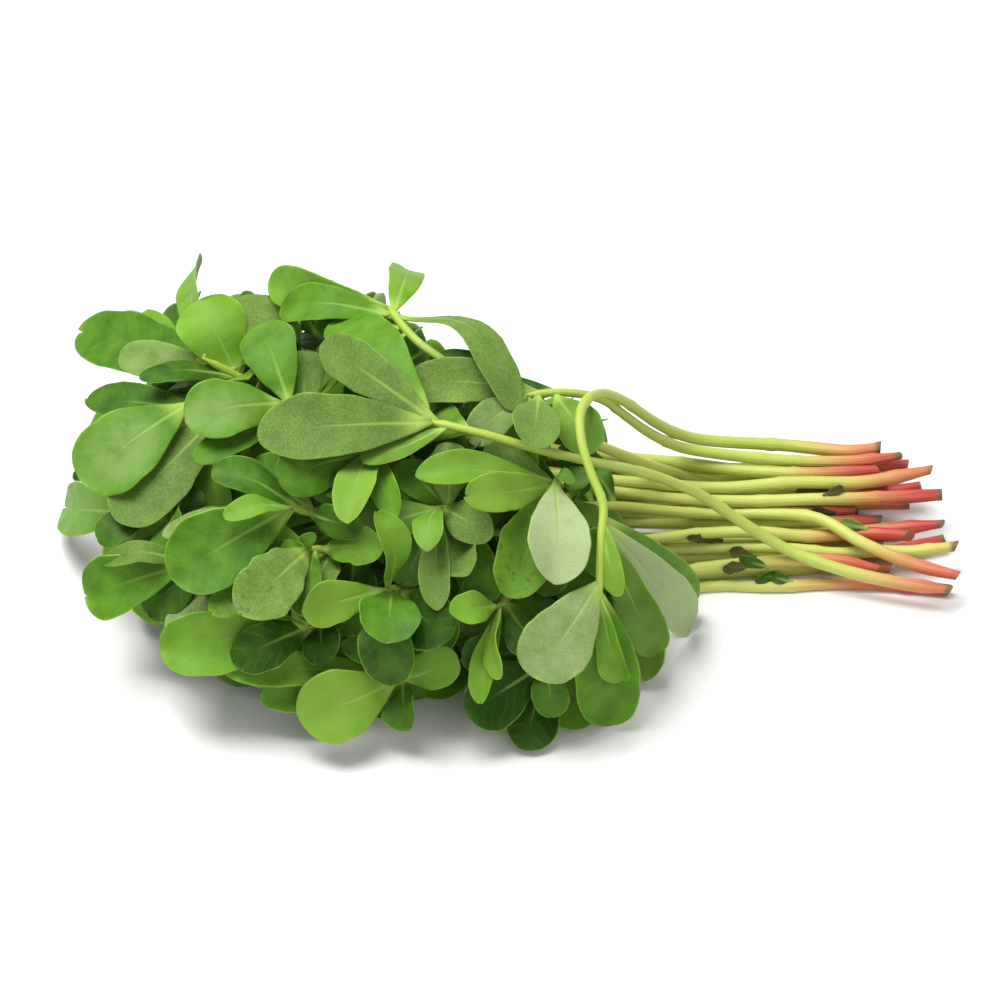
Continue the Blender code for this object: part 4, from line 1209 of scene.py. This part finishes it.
# What is drawn for each leaf: how far it differs from its plan, or what it is given.
TAPERS = (-0.12, 0.3)  # shares of LEAF_TAPER
ROUNDINGS = (-0.12, 0.2)  # shares of LEAF_ROUND
FOLDS = (-4, 0, 4, 8, 14, 24)  # degrees
NOTCHES = (0.0, 0.0, 0.0, 0.0, 0.02, 0.04)
CURLS = (-0.15, 0.12)
TWISTS = (-25, 25)  # degrees
WAVES = (0.2, 0.9)  # mm
WIDE_LEAF = 18  # mm; a narrower leaf has lower waves
TONES = (-0.25, 0.25)

# And for each stem: how slanted and how dried its cut is, how thin it is there, and its red if it has no row.
SLANTS = (0.1, 0.5)
DRYNESSES = (0.15, 0.5, 1.0)
END_SIZES = (0.5, 0.85)
REDS = (0.2, 0.8)
RED_LENGTHS = (16, 32)  # mm


def lane_of(name):
    return (ROUTES.get(name) or BACK_TIPS.get(name))[0]


def leaf_axes(leaf):
    """The directions that a leaf's upper side faces and that it is wide in."""
    root, tip, facing, _, turn, _, _ = leaf
    along = unit(tip - root)
    face = unit(facing - along * np.dot(facing, along))
    face = face * math.cos(turn) + np.cross(along, face) * math.sin(turn)
    return face, np.cross(face, along)


def leaf_values(leaf, look, kind, ease, draw):
    """What the tree has to know about one leaf: the less ease, the nearer it keeps to its plan."""
    root, tip, _, width, _, bow, fold = leaf
    face, side = leaf_axes(leaf)
    under, tone, yellow, bruise, haze = LEAF_LOOKS[look]
    taper = LEAF_TAPER * (1 + ease * draw.uniform(*TAPERS))
    blunt = LEAF_ROUND * (1 + ease * draw.uniform(*ROUNDINGS))
    widest = (taper / (taper + blunt / 2)) ** (1 / blunt)
    length = np.linalg.norm(tip - root)
    return {
        "kind": kind,
        "reach": (tip - root) * MM,
        "face": face,
        "side": side,
        "width": width * MM,
        "bow": bow * MM,
        "fold": fold + ease * math.radians(draw.choice(FOLDS)),
        "taper": taper,
        "blunt": blunt,
        "peak": widest**taper * math.sqrt(1 - widest**blunt),
        "notch": draw.choice(NOTCHES),
        "curl": ease * draw.uniform(*CURLS),
        "twist": ease * math.radians(draw.uniform(*TWISTS)),
        "crumple": 1 + 1.5 * bruise,
        "wave": draw.uniform(*WAVES) * min(width / WIDE_LEAF, 1.0) * MM,
        "phase": draw.uniform(0, 1),
        "length": length * MM,
        "under": under,
        "tone": tone + draw.uniform(*TONES),
        "yellow": yellow,
        "bruise": bruise,
        "haze": haze,
        "seed": draw.uniform(0, 50),
    }


VECTORS = ("reach", "face", "side", "lean")  # the attributes that are directions, not numbers


def make_skeleton(name, path, rows):
    """The skeleton mesh of a leafy stem: its stem's points first, and then its leaves' roots."""
    draw = random.Random(name)
    steps = np.concatenate([[0], np.cumsum(np.linalg.norm(np.diff(path, axis=0), axis=1))]) * MM
    red, red_length = CUT_REDS.get(lane_of(name), (draw.uniform(*REDS), draw.uniform(*RED_LENGTHS)))
    lean = draw.uniform(0, 2 * math.pi)
    slant = draw.uniform(*SLANTS)
    stem = {
        "red": red,
        "red_length": red_length * MM,
        "lean": (slant * math.cos(lean), slant * math.sin(lean), 0.0),
        "seed": draw.uniform(0, 50),
        "tone": draw.uniform(-1, 1),
        "dry": draw.choice(DRYNESSES),
        "end_size": draw.uniform(*END_SIZES),
    }
    entries = []
    for step, radius in zip(steps, stem_radii(len(path))):
        entries.append({"stem_radius": radius * MM, "from_cut": step, "to_tip": steps[-1] - step} | stem)
    for i, (leaf, look, kind) in enumerate(rows):
        ease = SHOWN_EASE if i < len(SEEN_LOOKS.get(name, "")) else 1.0
        entries.append(leaf_values(leaf, look, kind, ease, draw))
    mesh = bpy.data.meshes.new("skeleton_" + name)
    points = in_metres([*path] + [leaf[0] for leaf, _, _ in rows])
    mesh.from_pydata(points.tolist(), [(i, i + 1) for i in range(len(path) - 1)], [])
    for key in sorted({key for entry in entries for key in entry}):
        wide = key in VECTORS
        values = [entry.get(key, (0.0, 0.0, 0.0) if wide else 0.0) for entry in entries]
        layer = mesh.attributes.new(key, "FLOAT_VECTOR" if wide else "FLOAT", "POINT")
        layer.data.foreach_set("vector" if wide else "value", np.array(values, dtype=np.float32).ravel())
    return mesh


skeletons = {}
for name, path in paths.items():
    rows = [(leaf, look, FULL_LEAF) for leaf, look in leaves[name]]
    rows += [(leaf, look, YOUNG_LEAF) for leaf, look in young[name] + scraps[name]]
    skeletons[name] = make_skeleton(name, path, rows)
print("skeletons:", len(skeletons))

# %% [markdown]
# ## Helpers for materials
# Both materials are procedural: noises and a few measures of where a point lies, worked out by nodes. These
# helpers keep each step of that to a line. Colours are written as a screen shows them, and turned into the
# linear values that shaders use.


# %% Helpers for materials
def color(red, green, blue):
    """A colour as a screen shows it, from 0 to 255, turned into the linear values that shaders use."""
    return (*(((value / 255 + 0.055) / 1.055) ** 2.4 for value in (red, green, blue)), 1.0)


def new_material(name):
    """A material with an empty Principled shader: the flow to build with, and the shader."""
    material = bpy.data.materials.new(name)
    material.use_nodes = True
    shader = material.node_tree.nodes["Principled BSDF"]
    return material, Flow(material.node_tree), shader


def attribute(flow, name, output=2):
    """An attribute of the mesh: output 1 is a vector and 2 a number."""
    return flow.node("ShaderNodeAttribute", {"attribute_name": name}, None, output)


def vector(flow, x, y, z):
    return flow.node("ShaderNodeCombineXYZ", None, {0: x, 1: y, 2: z})


def noise(flow, place, scale, detail=2.0, roughness=0.5):
    return flow.node("ShaderNodeTexNoise", None, {0: place, 2: scale, 3: detail, 4: roughness})


def graded(flow, share, stops):
    """A colour ramp, with stops as (place, (red, green, blue)) on a screen."""
    settings = {"stops": [(place, color(*shade)) for place, shade in stops]}
    return flow.node("ShaderNodeValToRGB", settings, {0: share})


def bump(flow, strength, height):
    return flow.node("ShaderNodeBump", None, {"Strength": strength, "Distance": 1.0, "Height": height})


def set_shader(flow, shader, values):
    """Fills or links a shader's sockets."""
    for name, value in values.items():
        if isinstance(value, Flow):
            flow.tree.links.new(value.socket, shader.inputs[name])
        else:
            shader.inputs[name].default_value = value


print("a leaf's middle green, for a shader:", [round(value, 3) for value in color(88, 136, 24)])

# %% [markdown]
# ## What leaves are made of
# A purslane leaf is thick and juicy. Its upper side is a soft, slightly waxy green with a pale midrib that
# fades towards the tip, its underside is paler, matt and finely speckled, and light shows through its rim.
# A painted picture would need every leaf unwrapped. Instead the tree leaves attributes on the mesh that say
# where on the leaf a point is, and the material paints by them, so the pattern follows every bend.

# %% The leaf material
UPPER_GREENS = ((0.0, (38, 70, 12)), (0.35, (66, 110, 18)), (0.65, (88, 136, 24)), (1.0, (116, 162, 42)))
UNDER_GREENS = ((0.0, (72, 102, 36)), (0.5, (104, 134, 56)), (1.0, (156, 172, 124)))


def make_leaf_material():
    material, flow, shader = new_material("purslane leaf")
    across, along, skin = attribute(flow, "leaf_place", 1).xyz()
    flat = attribute(flow, "leaf_flat", 1)
    sideways = abs(flat.xyz()[0])
    tone = attribute(flow, "tone")
    yellow = attribute(flow, "yellow")
    bruise = attribute(flow, "bruise")
    haze = attribute(flow, "haze")

    patches = noise(flow, flat, 160.0, 3.0)
    grain = noise(flow, flat, 1700.0, 2.0, 0.7)
    cells = noise(flow, flat, 900.0, 2.0, 0.6)
    # How light the green is: the look's tone, which carries the painted shade of leaves in shade, and random
    # patches.
    light = tone * 0.5 + 0.5 + (patches - 0.5) * 0.7

    # The two faces: a hazy bloom of wax and fine specks on the upper one, stronger specks below.
    upper = graded(flow, light, UPPER_GREENS)
    bloom = (1 - abs(across).ramp(0.3, 1.1)) * along.ramp(0.1, 0.5) * patches.ramp(0.3, 0.65, 0.45, 1.0)
    upper = upper.mixed(color(112, 142, 70), bloom * haze)
    upper = upper.mixed(color(136, 168, 64), yellow * 0.7)
    upper = upper.mixed(color(124, 158, 70), grain.ramp(0.55, 0.78) * 0.16)
    under = graded(flow, light, UNDER_GREENS)
    under = under.mixed(color(160, 182, 116), grain.ramp(0.42, 0.75) * 0.22)
    under = under.mixed(color(72, 100, 40), (1 - grain).ramp(0.45, 0.75) * 0.28)
    body = under.mixed(upper, skin.ramp(-0.2, 0.2))

    # The midrib, side veins, pale stalk, and the rim with painted light that shows through it.
    rib_width = (1 - along).ramp(0.0, 1.0, 0.00025, 0.0011)
    rib = (1 - sideways.ramp(0.0, rib_width)) * (1 - along.ramp(0.3, 0.8))
    body = body.mixed(color(152, 184, 90), rib * 0.55)
    veins = ((flat.xyz()[1] - sideways * 0.9) * 260.0 + patches * 1.5).maths("FRACT")
    veins = (1 - abs(veins - 0.5).ramp(0.0, 0.12)) * sideways.ramp(0.0005, 0.003)
    body = body.mixed(color(140, 176, 80), veins * 0.08)
    stalk = 1 - along.ramp(0.03, 0.24)
    body = body.mixed(color(168, 196, 92), stalk * 0.7)
    # Painted light: a paler, yellower band along the rim, for light that shows through the thin edge.
    rim = abs(across).ramp(0.94, 0.99) * along.ramp(0.2, 0.5) * patches.ramp(0.3, 0.6, 0.35, 1.0)
    body = body.mixed(color(148, 184, 76), rim * 0.6)

    # Bruises near the tip, the brown of what has withered, and small nicks on every leaf.
    spots = noise(flow, flat, 420.0, 4.0, 0.65)
    near_tip = along.ramp(0.45, 0.85)
    bruised = spots.ramp(0.54, 0.66) * bruise * near_tip
    body = body.mixed(color(70, 66, 34), bruised * 0.7)
    body = body.mixed(color(82, 76, 40), bruise.ramp(1.0, 2.0) * spots.ramp(0.3, 0.6, 0.6, 1.0))
    body = body.mixed(color(86, 102, 40), spots.ramp(0.69, 0.73) * 0.5)

    height = cells * 0.00004 + grain * 0.000006 - rib * 0.00025 + patches * 0.0004 - veins * 0.00002
    values = {
        "Base Color": body,
        "Roughness": skin.ramp(-0.2, 0.2, 0.66, 0.5) + (cells - 0.5) * 0.12,
        "Normal": bump(flow, 0.8, height),
        "Subsurface Weight": 0.22,
        "Subsurface Radius": (0.5, 1.0, 0.18),
        "Subsurface Scale": 0.0016,
        "Specular IOR Level": 0.14,
    }
    set_shader(flow, shader, values)
    return material


leaf_material = make_leaf_material()
print(leaf_material.name, "nodes:", len(leaf_material.node_tree.nodes))

# %% [markdown]
# ## What stems are made of
# The stems are pale yellow-green and a little glassy, with fine streaks along them. Towards their cut ends
# many turn orange and then red, and the cut itself has dried to a brownish beige. Among the leaves they are
# greener. Most of it is painted by two attributes of the mesh: how far a point is from the cut, and its
# place round the stem.


# %% The stem material
def make_stem_material():
    material, flow, shader = new_material("purslane stem")
    round_place = attribute(flow, "round", 1)
    from_cut = attribute(flow, "from_cut")
    tone = attribute(flow, "tone")
    red = attribute(flow, "red")
    seed = attribute(flow, "seed")
    place = round_place * 1.6 + vector(flow, seed, 0.0, from_cut * 26.0)
    streaks = noise(flow, place, 2.4, 3.0, 0.6)
    fine = noise(flow, round_place * 6.0 + vector(flow, 0.0, 0.0, from_cut * 60.0), 3.0, 2.0)
    blotches = noise(flow, place, 0.9, 2.0)

    # The plain stem: greener towards its tip, streaked and blotched.
    shades = {0: from_cut.ramp(0.08, 0.19), 6: color(190, 196, 98), 7: color(160, 190, 72)}
    body = flow.node("ShaderNodeMix", {"data_type": "RGBA"}, shades, 2)
    body = body.mixed(color(208, 206, 128), streaks.ramp(0.5, 0.75) * 0.5)
    body = body.mixed(color(160, 184, 70), (tone * 0.5 + 0.5 + (blotches - 0.5)).ramp(0.2, 1.0) * 0.45)

    # The cut end: a warm flush, the red in it, and the dried cut.
    reach = from_cut / attribute(flow, "red_length") + (streaks - 0.5) * 0.7
    warm = 1 - reach.ramp(0.2, 1.35)
    hot = (1 - reach.ramp(0.0, 1.1)) * red.ramp(0.1, 0.8)
    body = body.mixed(color(208, 160, 100), warm * red.ramp(0.0, 0.4))
    body = body.mixed(color(196, 66, 64), hot * 0.94)
    body = body.mixed(color(172, 38, 42), hot * red.ramp(0.7, 1.0) * 0.5)
    body = body.mixed(color(138, 34, 36), hot * blotches.ramp(0.42, 0.66) * 0.6)
    dried = (1 - from_cut.ramp(0.0006, 0.003)) * attribute(flow, "dry")
    body = body.mixed(color(112, 92, 60), dried)

    values = {
        "Base Color": body,
        "Roughness": streaks * 0.12 + 0.36,
        "Normal": bump(flow, 0.7, streaks * 0.0003 + fine * 0.00008),
        "Subsurface Weight": 0.3,
        "Subsurface Radius": (1.0, 0.8, 0.3),
        "Subsurface Scale": 0.002,
        "Specular IOR Level": 0.4,
    }
    set_shader(flow, shader, values)
    return material


stem_material = make_stem_material()
print(stem_material.name, "nodes:", len(stem_material.node_tree.nodes))

# %% [markdown]
# ## The tree that grows a stem
# One Geometry Nodes tree makes all leafy stems, because all follow the same rule and differ only in their
# skeletons. First its stem: the skeleton's edges become a smooth curve with a round section, which swells
# at the joints. A curve object with a bevel would give such a tube too, but every swelling and slanted cut
# would have to be set by hand.

# %% Grow a stem
TREE_SIZES = {
    "Stem Sides": ("NodeSocketInt", 12),
    "Stem Step": ("NodeSocketFloat", 0.0022),
    "Joint Spacing": ("NodeSocketFloat", 0.034),
    "Joint Swelling": ("NodeSocketFloat", 0.14),
    "Joint Reach": ("NodeSocketFloat", 0.0028),
    "End Rounding": ("NodeSocketFloat", 0.011),
    "Tip Rounding": ("NodeSocketFloat", 0.005),
    "Tip Size": ("NodeSocketFloat", 0.35),
    "Cut Reach": ("NodeSocketFloat", 0.002),
    "Leaf Sides": ("NodeSocketInt", 20),
    "Leaf Rings": ("NodeSocketInt", 22),
    "Young Sides": ("NodeSocketInt", 12),
    "Young Rings": ("NodeSocketInt", 12),
    "Blade Thickness": ("NodeSocketFloat", 0.00085),
    "Stalk Thickness": ("NodeSocketFloat", 0.0014),
    "Edge Unevenness": ("NodeSocketFloat", 0.28),
    "Ripple Height": ("NodeSocketFloat", 0.0022),
    "Ripple Fineness": ("NodeSocketFloat", 95.0),
}
BLADE_HEIGHT = 0.0005  # the least height of a blade's middle, and of its skin
SKIN_HEIGHT = 0.0001


def named(flow, name):
    kind = "FLOAT_VECTOR" if name in VECTORS + ("round", "run", "blade", "root") else "FLOAT"
    return flow.node("GeometryNodeInputNamedAttribute", {"data_type": kind}, {0: name})


def store(geometry, name, value):
    kind = "FLOAT_VECTOR" if value.is_vector() else "FLOAT"
    values = {0: geometry, 2: name, 3: value}
    return geometry.node("GeometryNodeStoreNamedAttribute", {"data_type": kind}, values)


def above(place, height):
    """Lifts what is lower than a height to it. A least x and y far off leave the other two measures free."""
    return place.vectors("MAXIMUM", (-10.0, -10.0, height))


def grow_stem(line, sizes, material):
    """The stem: a tube along the skeleton's edges."""
    curve = line.node("GeometryNodeMeshToCurve", None, {0: line})
    curve = curve.node("GeometryNodeCurveSplineType", {"spline_type": "CATMULL_ROM"}, {0: curve})
    curve = curve.node("GeometryNodeSetSplineResolution", None, {0: curve, 2: 12})
    curve = curve.node("GeometryNodeResampleCurve", {"mode": "LENGTH"}, {0: curve, 3: sizes["Stem Step"]})
    curve = store(curve, "run", curve.node("GeometryNodeInputTangent"))
    from_cut = named(line, "from_cut")
    spacing = sizes["Joint Spacing"]
    to_joint = ((from_cut / spacing + named(line, "seed")).maths("FRACT") - 0.5) * spacing
    swelling = 1 + (1 - abs(to_joint).ramp(0.0, sizes["Joint Reach"])) * sizes["Joint Swelling"]
    radius = named(line, "stem_radius") * swelling
    radius = radius * from_cut.ramp(0.0, sizes["End Rounding"], named(line, "end_size"), 1.0)
    radius = radius * named(line, "to_tip").ramp(0.0, sizes["Tip Rounding"], sizes["Tip Size"], 1.0)
    circle = line.node("GeometryNodeCurvePrimitiveCircle", None, {0: sizes["Stem Sides"], 4: 1.0})
    circle = store(circle, "round", circle.node("GeometryNodeInputPosition"))
    tube = curve.node("GeometryNodeCurveToMesh", None, {0: curve, 1: circle, 2: radius, 3: True})
    slant = named(line, "round").vectors("DOT_PRODUCT", named(line, "lean"), output=1)
    slant = slant * named(line, "stem_radius") * (1 - from_cut.ramp(0.0, sizes["Cut Reach"]))
    place = above(line.node("GeometryNodeInputPosition") + named(line, "run") * slant, 0.0)
    tube = tube.node("GeometryNodeSetPosition", None, {0: tube, 2: place})
    tube = tube.node("GeometryNodeSetShadeSmooth", None, {0: tube, 2: True})
    return tube.node("GeometryNodeSetMaterial", None, {0: tube, 2: material})


print("inputs of the tree:", ", ".join(TREE_SIZES))

# %% [markdown]
# ## The tree's leaves
# A finished leaf could be instanced on every point, but then all would be bent alike. Instead a plain tube
# with flat, wide sections stands at each loose point, and a few sums bend it into that point's leaf. How
# far along the leaf a point of the tube is says how wide and thick the leaf is there, and how far across
# says how far its side lifts.


# %% Plant and bend the leaves
def plant_blades(points, kind, sides, rings):
    """A plain tube of the given fineness at every point of a kind."""
    shape = {0: sides, 1: rings, 3: 1.0, 4: 1.0}
    tube = points.node("GeometryNodeMeshCylinder", {"fill_type": "TRIANGLE_FAN"}, shape)
    tube = store(tube, "blade", tube.node("GeometryNodeInputPosition"))
    kinds = {0: named(points, "kind"), 1: kind, 12: 0.1}
    chosen = points.node("FunctionNodeCompare", {"operation": "EQUAL"}, kinds)
    return points.node("GeometryNodeInstanceOnPoints", None, {0: points, 1: chosen, 2: tube})


def bend_blades(blades, sizes, material):
    """Bends the planted tubes into leaves."""

    def of(name):
        return named(blades, name)

    def unevenness(place, fineness):
        return noise(blades, place, fineness, 1.0) - 0.5

    across, skin, up = of("blade").xyz()
    along = 1 - (1 - (up + 0.5) * 0.99) ** 1.8  # the rings lie closer towards the tip, where it is round
    off = abs(across)

    # The outline, with uneven edges.
    spread = along ** of("taper") * (1 - along ** of("blunt")) ** 0.5 / of("peak")
    edge = unevenness(vector(blades, across * 0.8, along * 4.5, of("seed")), 1.0) * of("crumple")
    half = spread * of("width") * 0.5 * (1 + edge * sizes["Edge Unevenness"])
    half = half.maths("MAXIMUM", sizes["Stalk Thickness"] * 0.5 * (1 - along) ** 0.5)
    flat = vector(blades, across * half, along * of("length"), of("seed"))

    # How far it stands off its middle plane: folded sides, waves along them, and ripples all over.
    cup = half * of("fold").maths("SINE") * (along * 1.5).maths("MINIMUM", 1.0) * off**1.6
    turn = (along * 1.3 + of("phase") + across * 0.22) * (2 * math.pi)
    wave = turn.maths("SINE") * off**2 * along.ramp(0.2, 0.6) * of("wave")
    ripple = unevenness(flat, sizes["Ripple Fineness"]) * sizes["Ripple Height"]
    ripple = ripple * along.ramp(0.1, 0.5) * off.ramp(0.0, 0.9, 0.35, 1.0) * of("crumple")

    # How its middle line bows, curls at the tip, twists, and is notched.
    bow = of("bow") * (along**1.15 * math.pi).maths("SINE").maths("MAXIMUM", 0.0) ** 1.3
    bow = bow + of("curl") * of("length") * along**3
    notch = along.ramp(0.8, 1.0) * (1 - off) * of("notch")
    twist = of("twist") * along**2
    cosine, sine = twist.maths("COSINE"), twist.maths("SINE")
    face = of("face") * cosine - of("side") * sine
    side = of("side") * cosine + of("face") * sine
    middle = of("root") + of("reach") * (along - notch) + of("face") * bow
    middle = middle + face * (cup + wave + ripple) + side * (across * half * of("fold").maths("COSINE"))
    middle = above(middle, BLADE_HEIGHT)

    # Its thickness, and what the material needs to know.
    thickness = along.ramp(0.02, 0.35, sizes["Stalk Thickness"], sizes["Blade Thickness"]) * (1 - along**14)
    place = above(middle + face * (skin * thickness * 0.5), SKIN_HEIGHT)
    side_up = skin * (1 - of("under") * 2)
    blades = store(blades, "leaf_place", vector(blades, across, along, side_up))
    blades = store(blades, "leaf_flat", flat)
    blades = blades.node("GeometryNodeSetPosition", None, {0: blades, 2: place})
    blades = blades.node("GeometryNodeSetShadeSmooth", None, {0: blades, 2: True})
    return blades.node("GeometryNodeSetMaterial", None, {0: blades, 2: material})


print("a blade's tube:", TREE_SIZES["Leaf Sides"][1], "sides,", TREE_SIZES["Leaf Rings"][1], "rings")

# %% [markdown]
# ## The whole tree, and the leafy stems
# The tree parts a skeleton into its edges and its loose points, grows the stem and the leaves, and joins
# them. Then every skeleton gets it as a modifier, and what the tree makes of it is kept as a plain mesh,
# because the export knows neither trees nor instances. Only the attributes that the materials read are
# kept.

# %% Grow the leafy stems
KEPT = ("round", "from_cut", "tone", "red", "red_length", "dry", "seed")
KEPT += ("leaf_place", "leaf_flat", "yellow", "bruise", "haze", "material_index", "sharp_face", "sharp_edge")


def make_tree():
    tree = bpy.data.node_groups.new("leafy stem", "GeometryNodeTree")
    tree.interface.new_socket("Skeleton", in_out="INPUT", socket_type="NodeSocketGeometry")
    for name, (kind, value) in TREE_SIZES.items():
        tree.interface.new_socket(name, in_out="INPUT", socket_type=kind).default_value = value
    for name in ("Leaf Material", "Stem Material"):
        tree.interface.new_socket(name, in_out="INPUT", socket_type="NodeSocketMaterial")
    tree.interface.new_socket("Geometry", in_out="OUTPUT", socket_type="NodeSocketGeometry")
    flow = Flow(tree)
    given = flow.node("NodeGroupInput").socket.node
    sizes = {socket.name: Flow(tree, socket) for socket in given.outputs if socket.name}
    is_leaf = named(flow, "kind").maths("GREATER_THAN", 0.5)
    split = flow.node("GeometryNodeSeparateGeometry", None, {0: sizes["Skeleton"], 1: is_leaf}).socket.node
    points = store(Flow(tree, split.outputs[0]), "root", flow.node("GeometryNodeInputPosition"))
    stem = grow_stem(Flow(tree, split.outputs[1]), sizes, sizes["Stem Material"])
    planted = flow.node("GeometryNodeJoinGeometry")
    for kind, word in ((FULL_LEAF, "Leaf"), (YOUNG_LEAF, "Young")):
        blades = plant_blades(points, kind, sizes[word + " Sides"], sizes[word + " Rings"])
        tree.links.new(blades.socket, planted.socket.node.inputs[0])
    blades = flow.node("GeometryNodeRealizeInstances", None, {0: planted})
    blades = bend_blades(blades, sizes, sizes["Leaf Material"])
    whole = flow.node("GeometryNodeJoinGeometry", None, {0: stem})
    tree.links.new(blades.socket, whole.socket.node.inputs[0])
    flow.node("NodeGroupOutput", None, {0: whole.node("GeometryNodeRealizeInstances", None, {0: whole})})
    return tree


def make_plain(obj):
    """Turns an object's evaluated shape into a plain mesh, and drops its modifiers and passing attributes."""
    bpy.context.view_layer.update()
    graph = bpy.context.evaluated_depsgraph_get()
    mesh = bpy.data.meshes.new_from_object(obj.evaluated_get(graph), depsgraph=graph)
    obj.modifiers.clear()
    obj.data = mesh
    for layer in list(mesh.attributes):
        if layer.name not in KEPT and not layer.is_required and not layer.is_internal:
            mesh.attributes.remove(layer)


def grow(name, skeleton, tree, materials):
    """A leafy stem as a plain mesh, grown from its skeleton."""
    obj = bpy.data.objects.new("leafy_" + name, skeleton)
    bpy.context.scene.collection.objects.link(obj)
    modifier = obj.modifiers.new("grow", "NODES")
    modifier.node_group = tree
    identifiers = {item.name: item.identifier for item in tree.interface.items_tree if item.in_out == "INPUT"}
    for key, (_, value) in TREE_SIZES.items():
        modifier[identifiers[key]] = value
    for key, material in materials.items():
        modifier[identifiers[key]] = material
    make_plain(obj)
    obj.data.name = "leafy_" + name
    for face in obj.data.polygons:
        if len(face.vertices) > 4:  # the flat faces of the cuts
            face.use_smooth = False
    return obj


tree = make_tree()
materials = {"Leaf Material": leaf_material, "Stem Material": stem_material}
pieces = {name: grow(name, skeleton, tree, materials) for name, skeleton in skeletons.items()}
faces = sum(len(piece.data.polygons) for piece in pieces.values())
print("pieces:", len(pieces), "faces:", faces)

# %% [markdown]
# ## The table and the light
# A plain pale table and large soft lights, as for a picture on white: one big light above and a little
# behind, a weaker one from the front, and a bright surrounding. Small or far lights would draw hard
# shadows, and such a picture has soft ones.

# %% The stage and the lights
TABLE_SIZE = 8.0
LIGHT_TARGET = Vector((0, 0, 0.03))
LIGHTS = (  # name, place, size and power
    ("top light", (-0.4, 0.1, 1.3), 0.9, 26.0),
    ("front light", (0.5, -1.5, 0.9), 1.2, 7.0),
)
SURROUNDINGS = 0.44


def make_floor():
    mesh = bpy.data.meshes.new("floor")
    half = TABLE_SIZE / 2
    corners = [(-half, -half, 0), (half, -half, 0), (half, half, 0), (-half, half, 0)]
    mesh.from_pydata(corners, [], [(0, 1, 2, 3)])
    floor = bpy.data.objects.new("floor", mesh)
    bpy.context.scene.collection.objects.link(floor)
    material, flow, shader = new_material("pale table")
    values = {"Base Color": color(238, 238, 236), "Roughness": 0.7, "Specular IOR Level": 0.2}
    set_shader(flow, shader, values)
    mesh.materials.append(material)
    return floor


def make_light(name, place, size, power):
    """A square area light that points at the middle of the bunch."""
    data = bpy.data.lights.new(name, "AREA")
    data.size = size
    data.energy = power
    light = bpy.data.objects.new(name, data)
    light.location = place
    light.rotation_euler = (LIGHT_TARGET - Vector(place)).to_track_quat("-Z", "Y").to_euler()
    bpy.context.scene.collection.objects.link(light)


def set_surroundings(strength):
    world = bpy.data.worlds.new("surroundings")
    world.use_nodes = True
    background = world.node_tree.nodes["Background"]
    background.inputs["Color"].default_value = (1.0, 1.0, 1.0, 1.0)
    background.inputs["Strength"].default_value = strength
    bpy.context.scene.world = world


floor = make_floor()
for light in LIGHTS:
    make_light(*light)
set_surroundings(SURROUNDINGS)
bpy.context.scene.view_settings.view_transform = "Standard"

# %% [markdown]
# ## Hand the pieces over
# Each leafy stem stands for its node in the imported model, which stays in the simulation for collision,
# hidden.

# %% Attach the pieces and hide the imported ones
for name, piece in pieces.items():
    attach(piece, "root")
    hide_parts("stem_" + name)
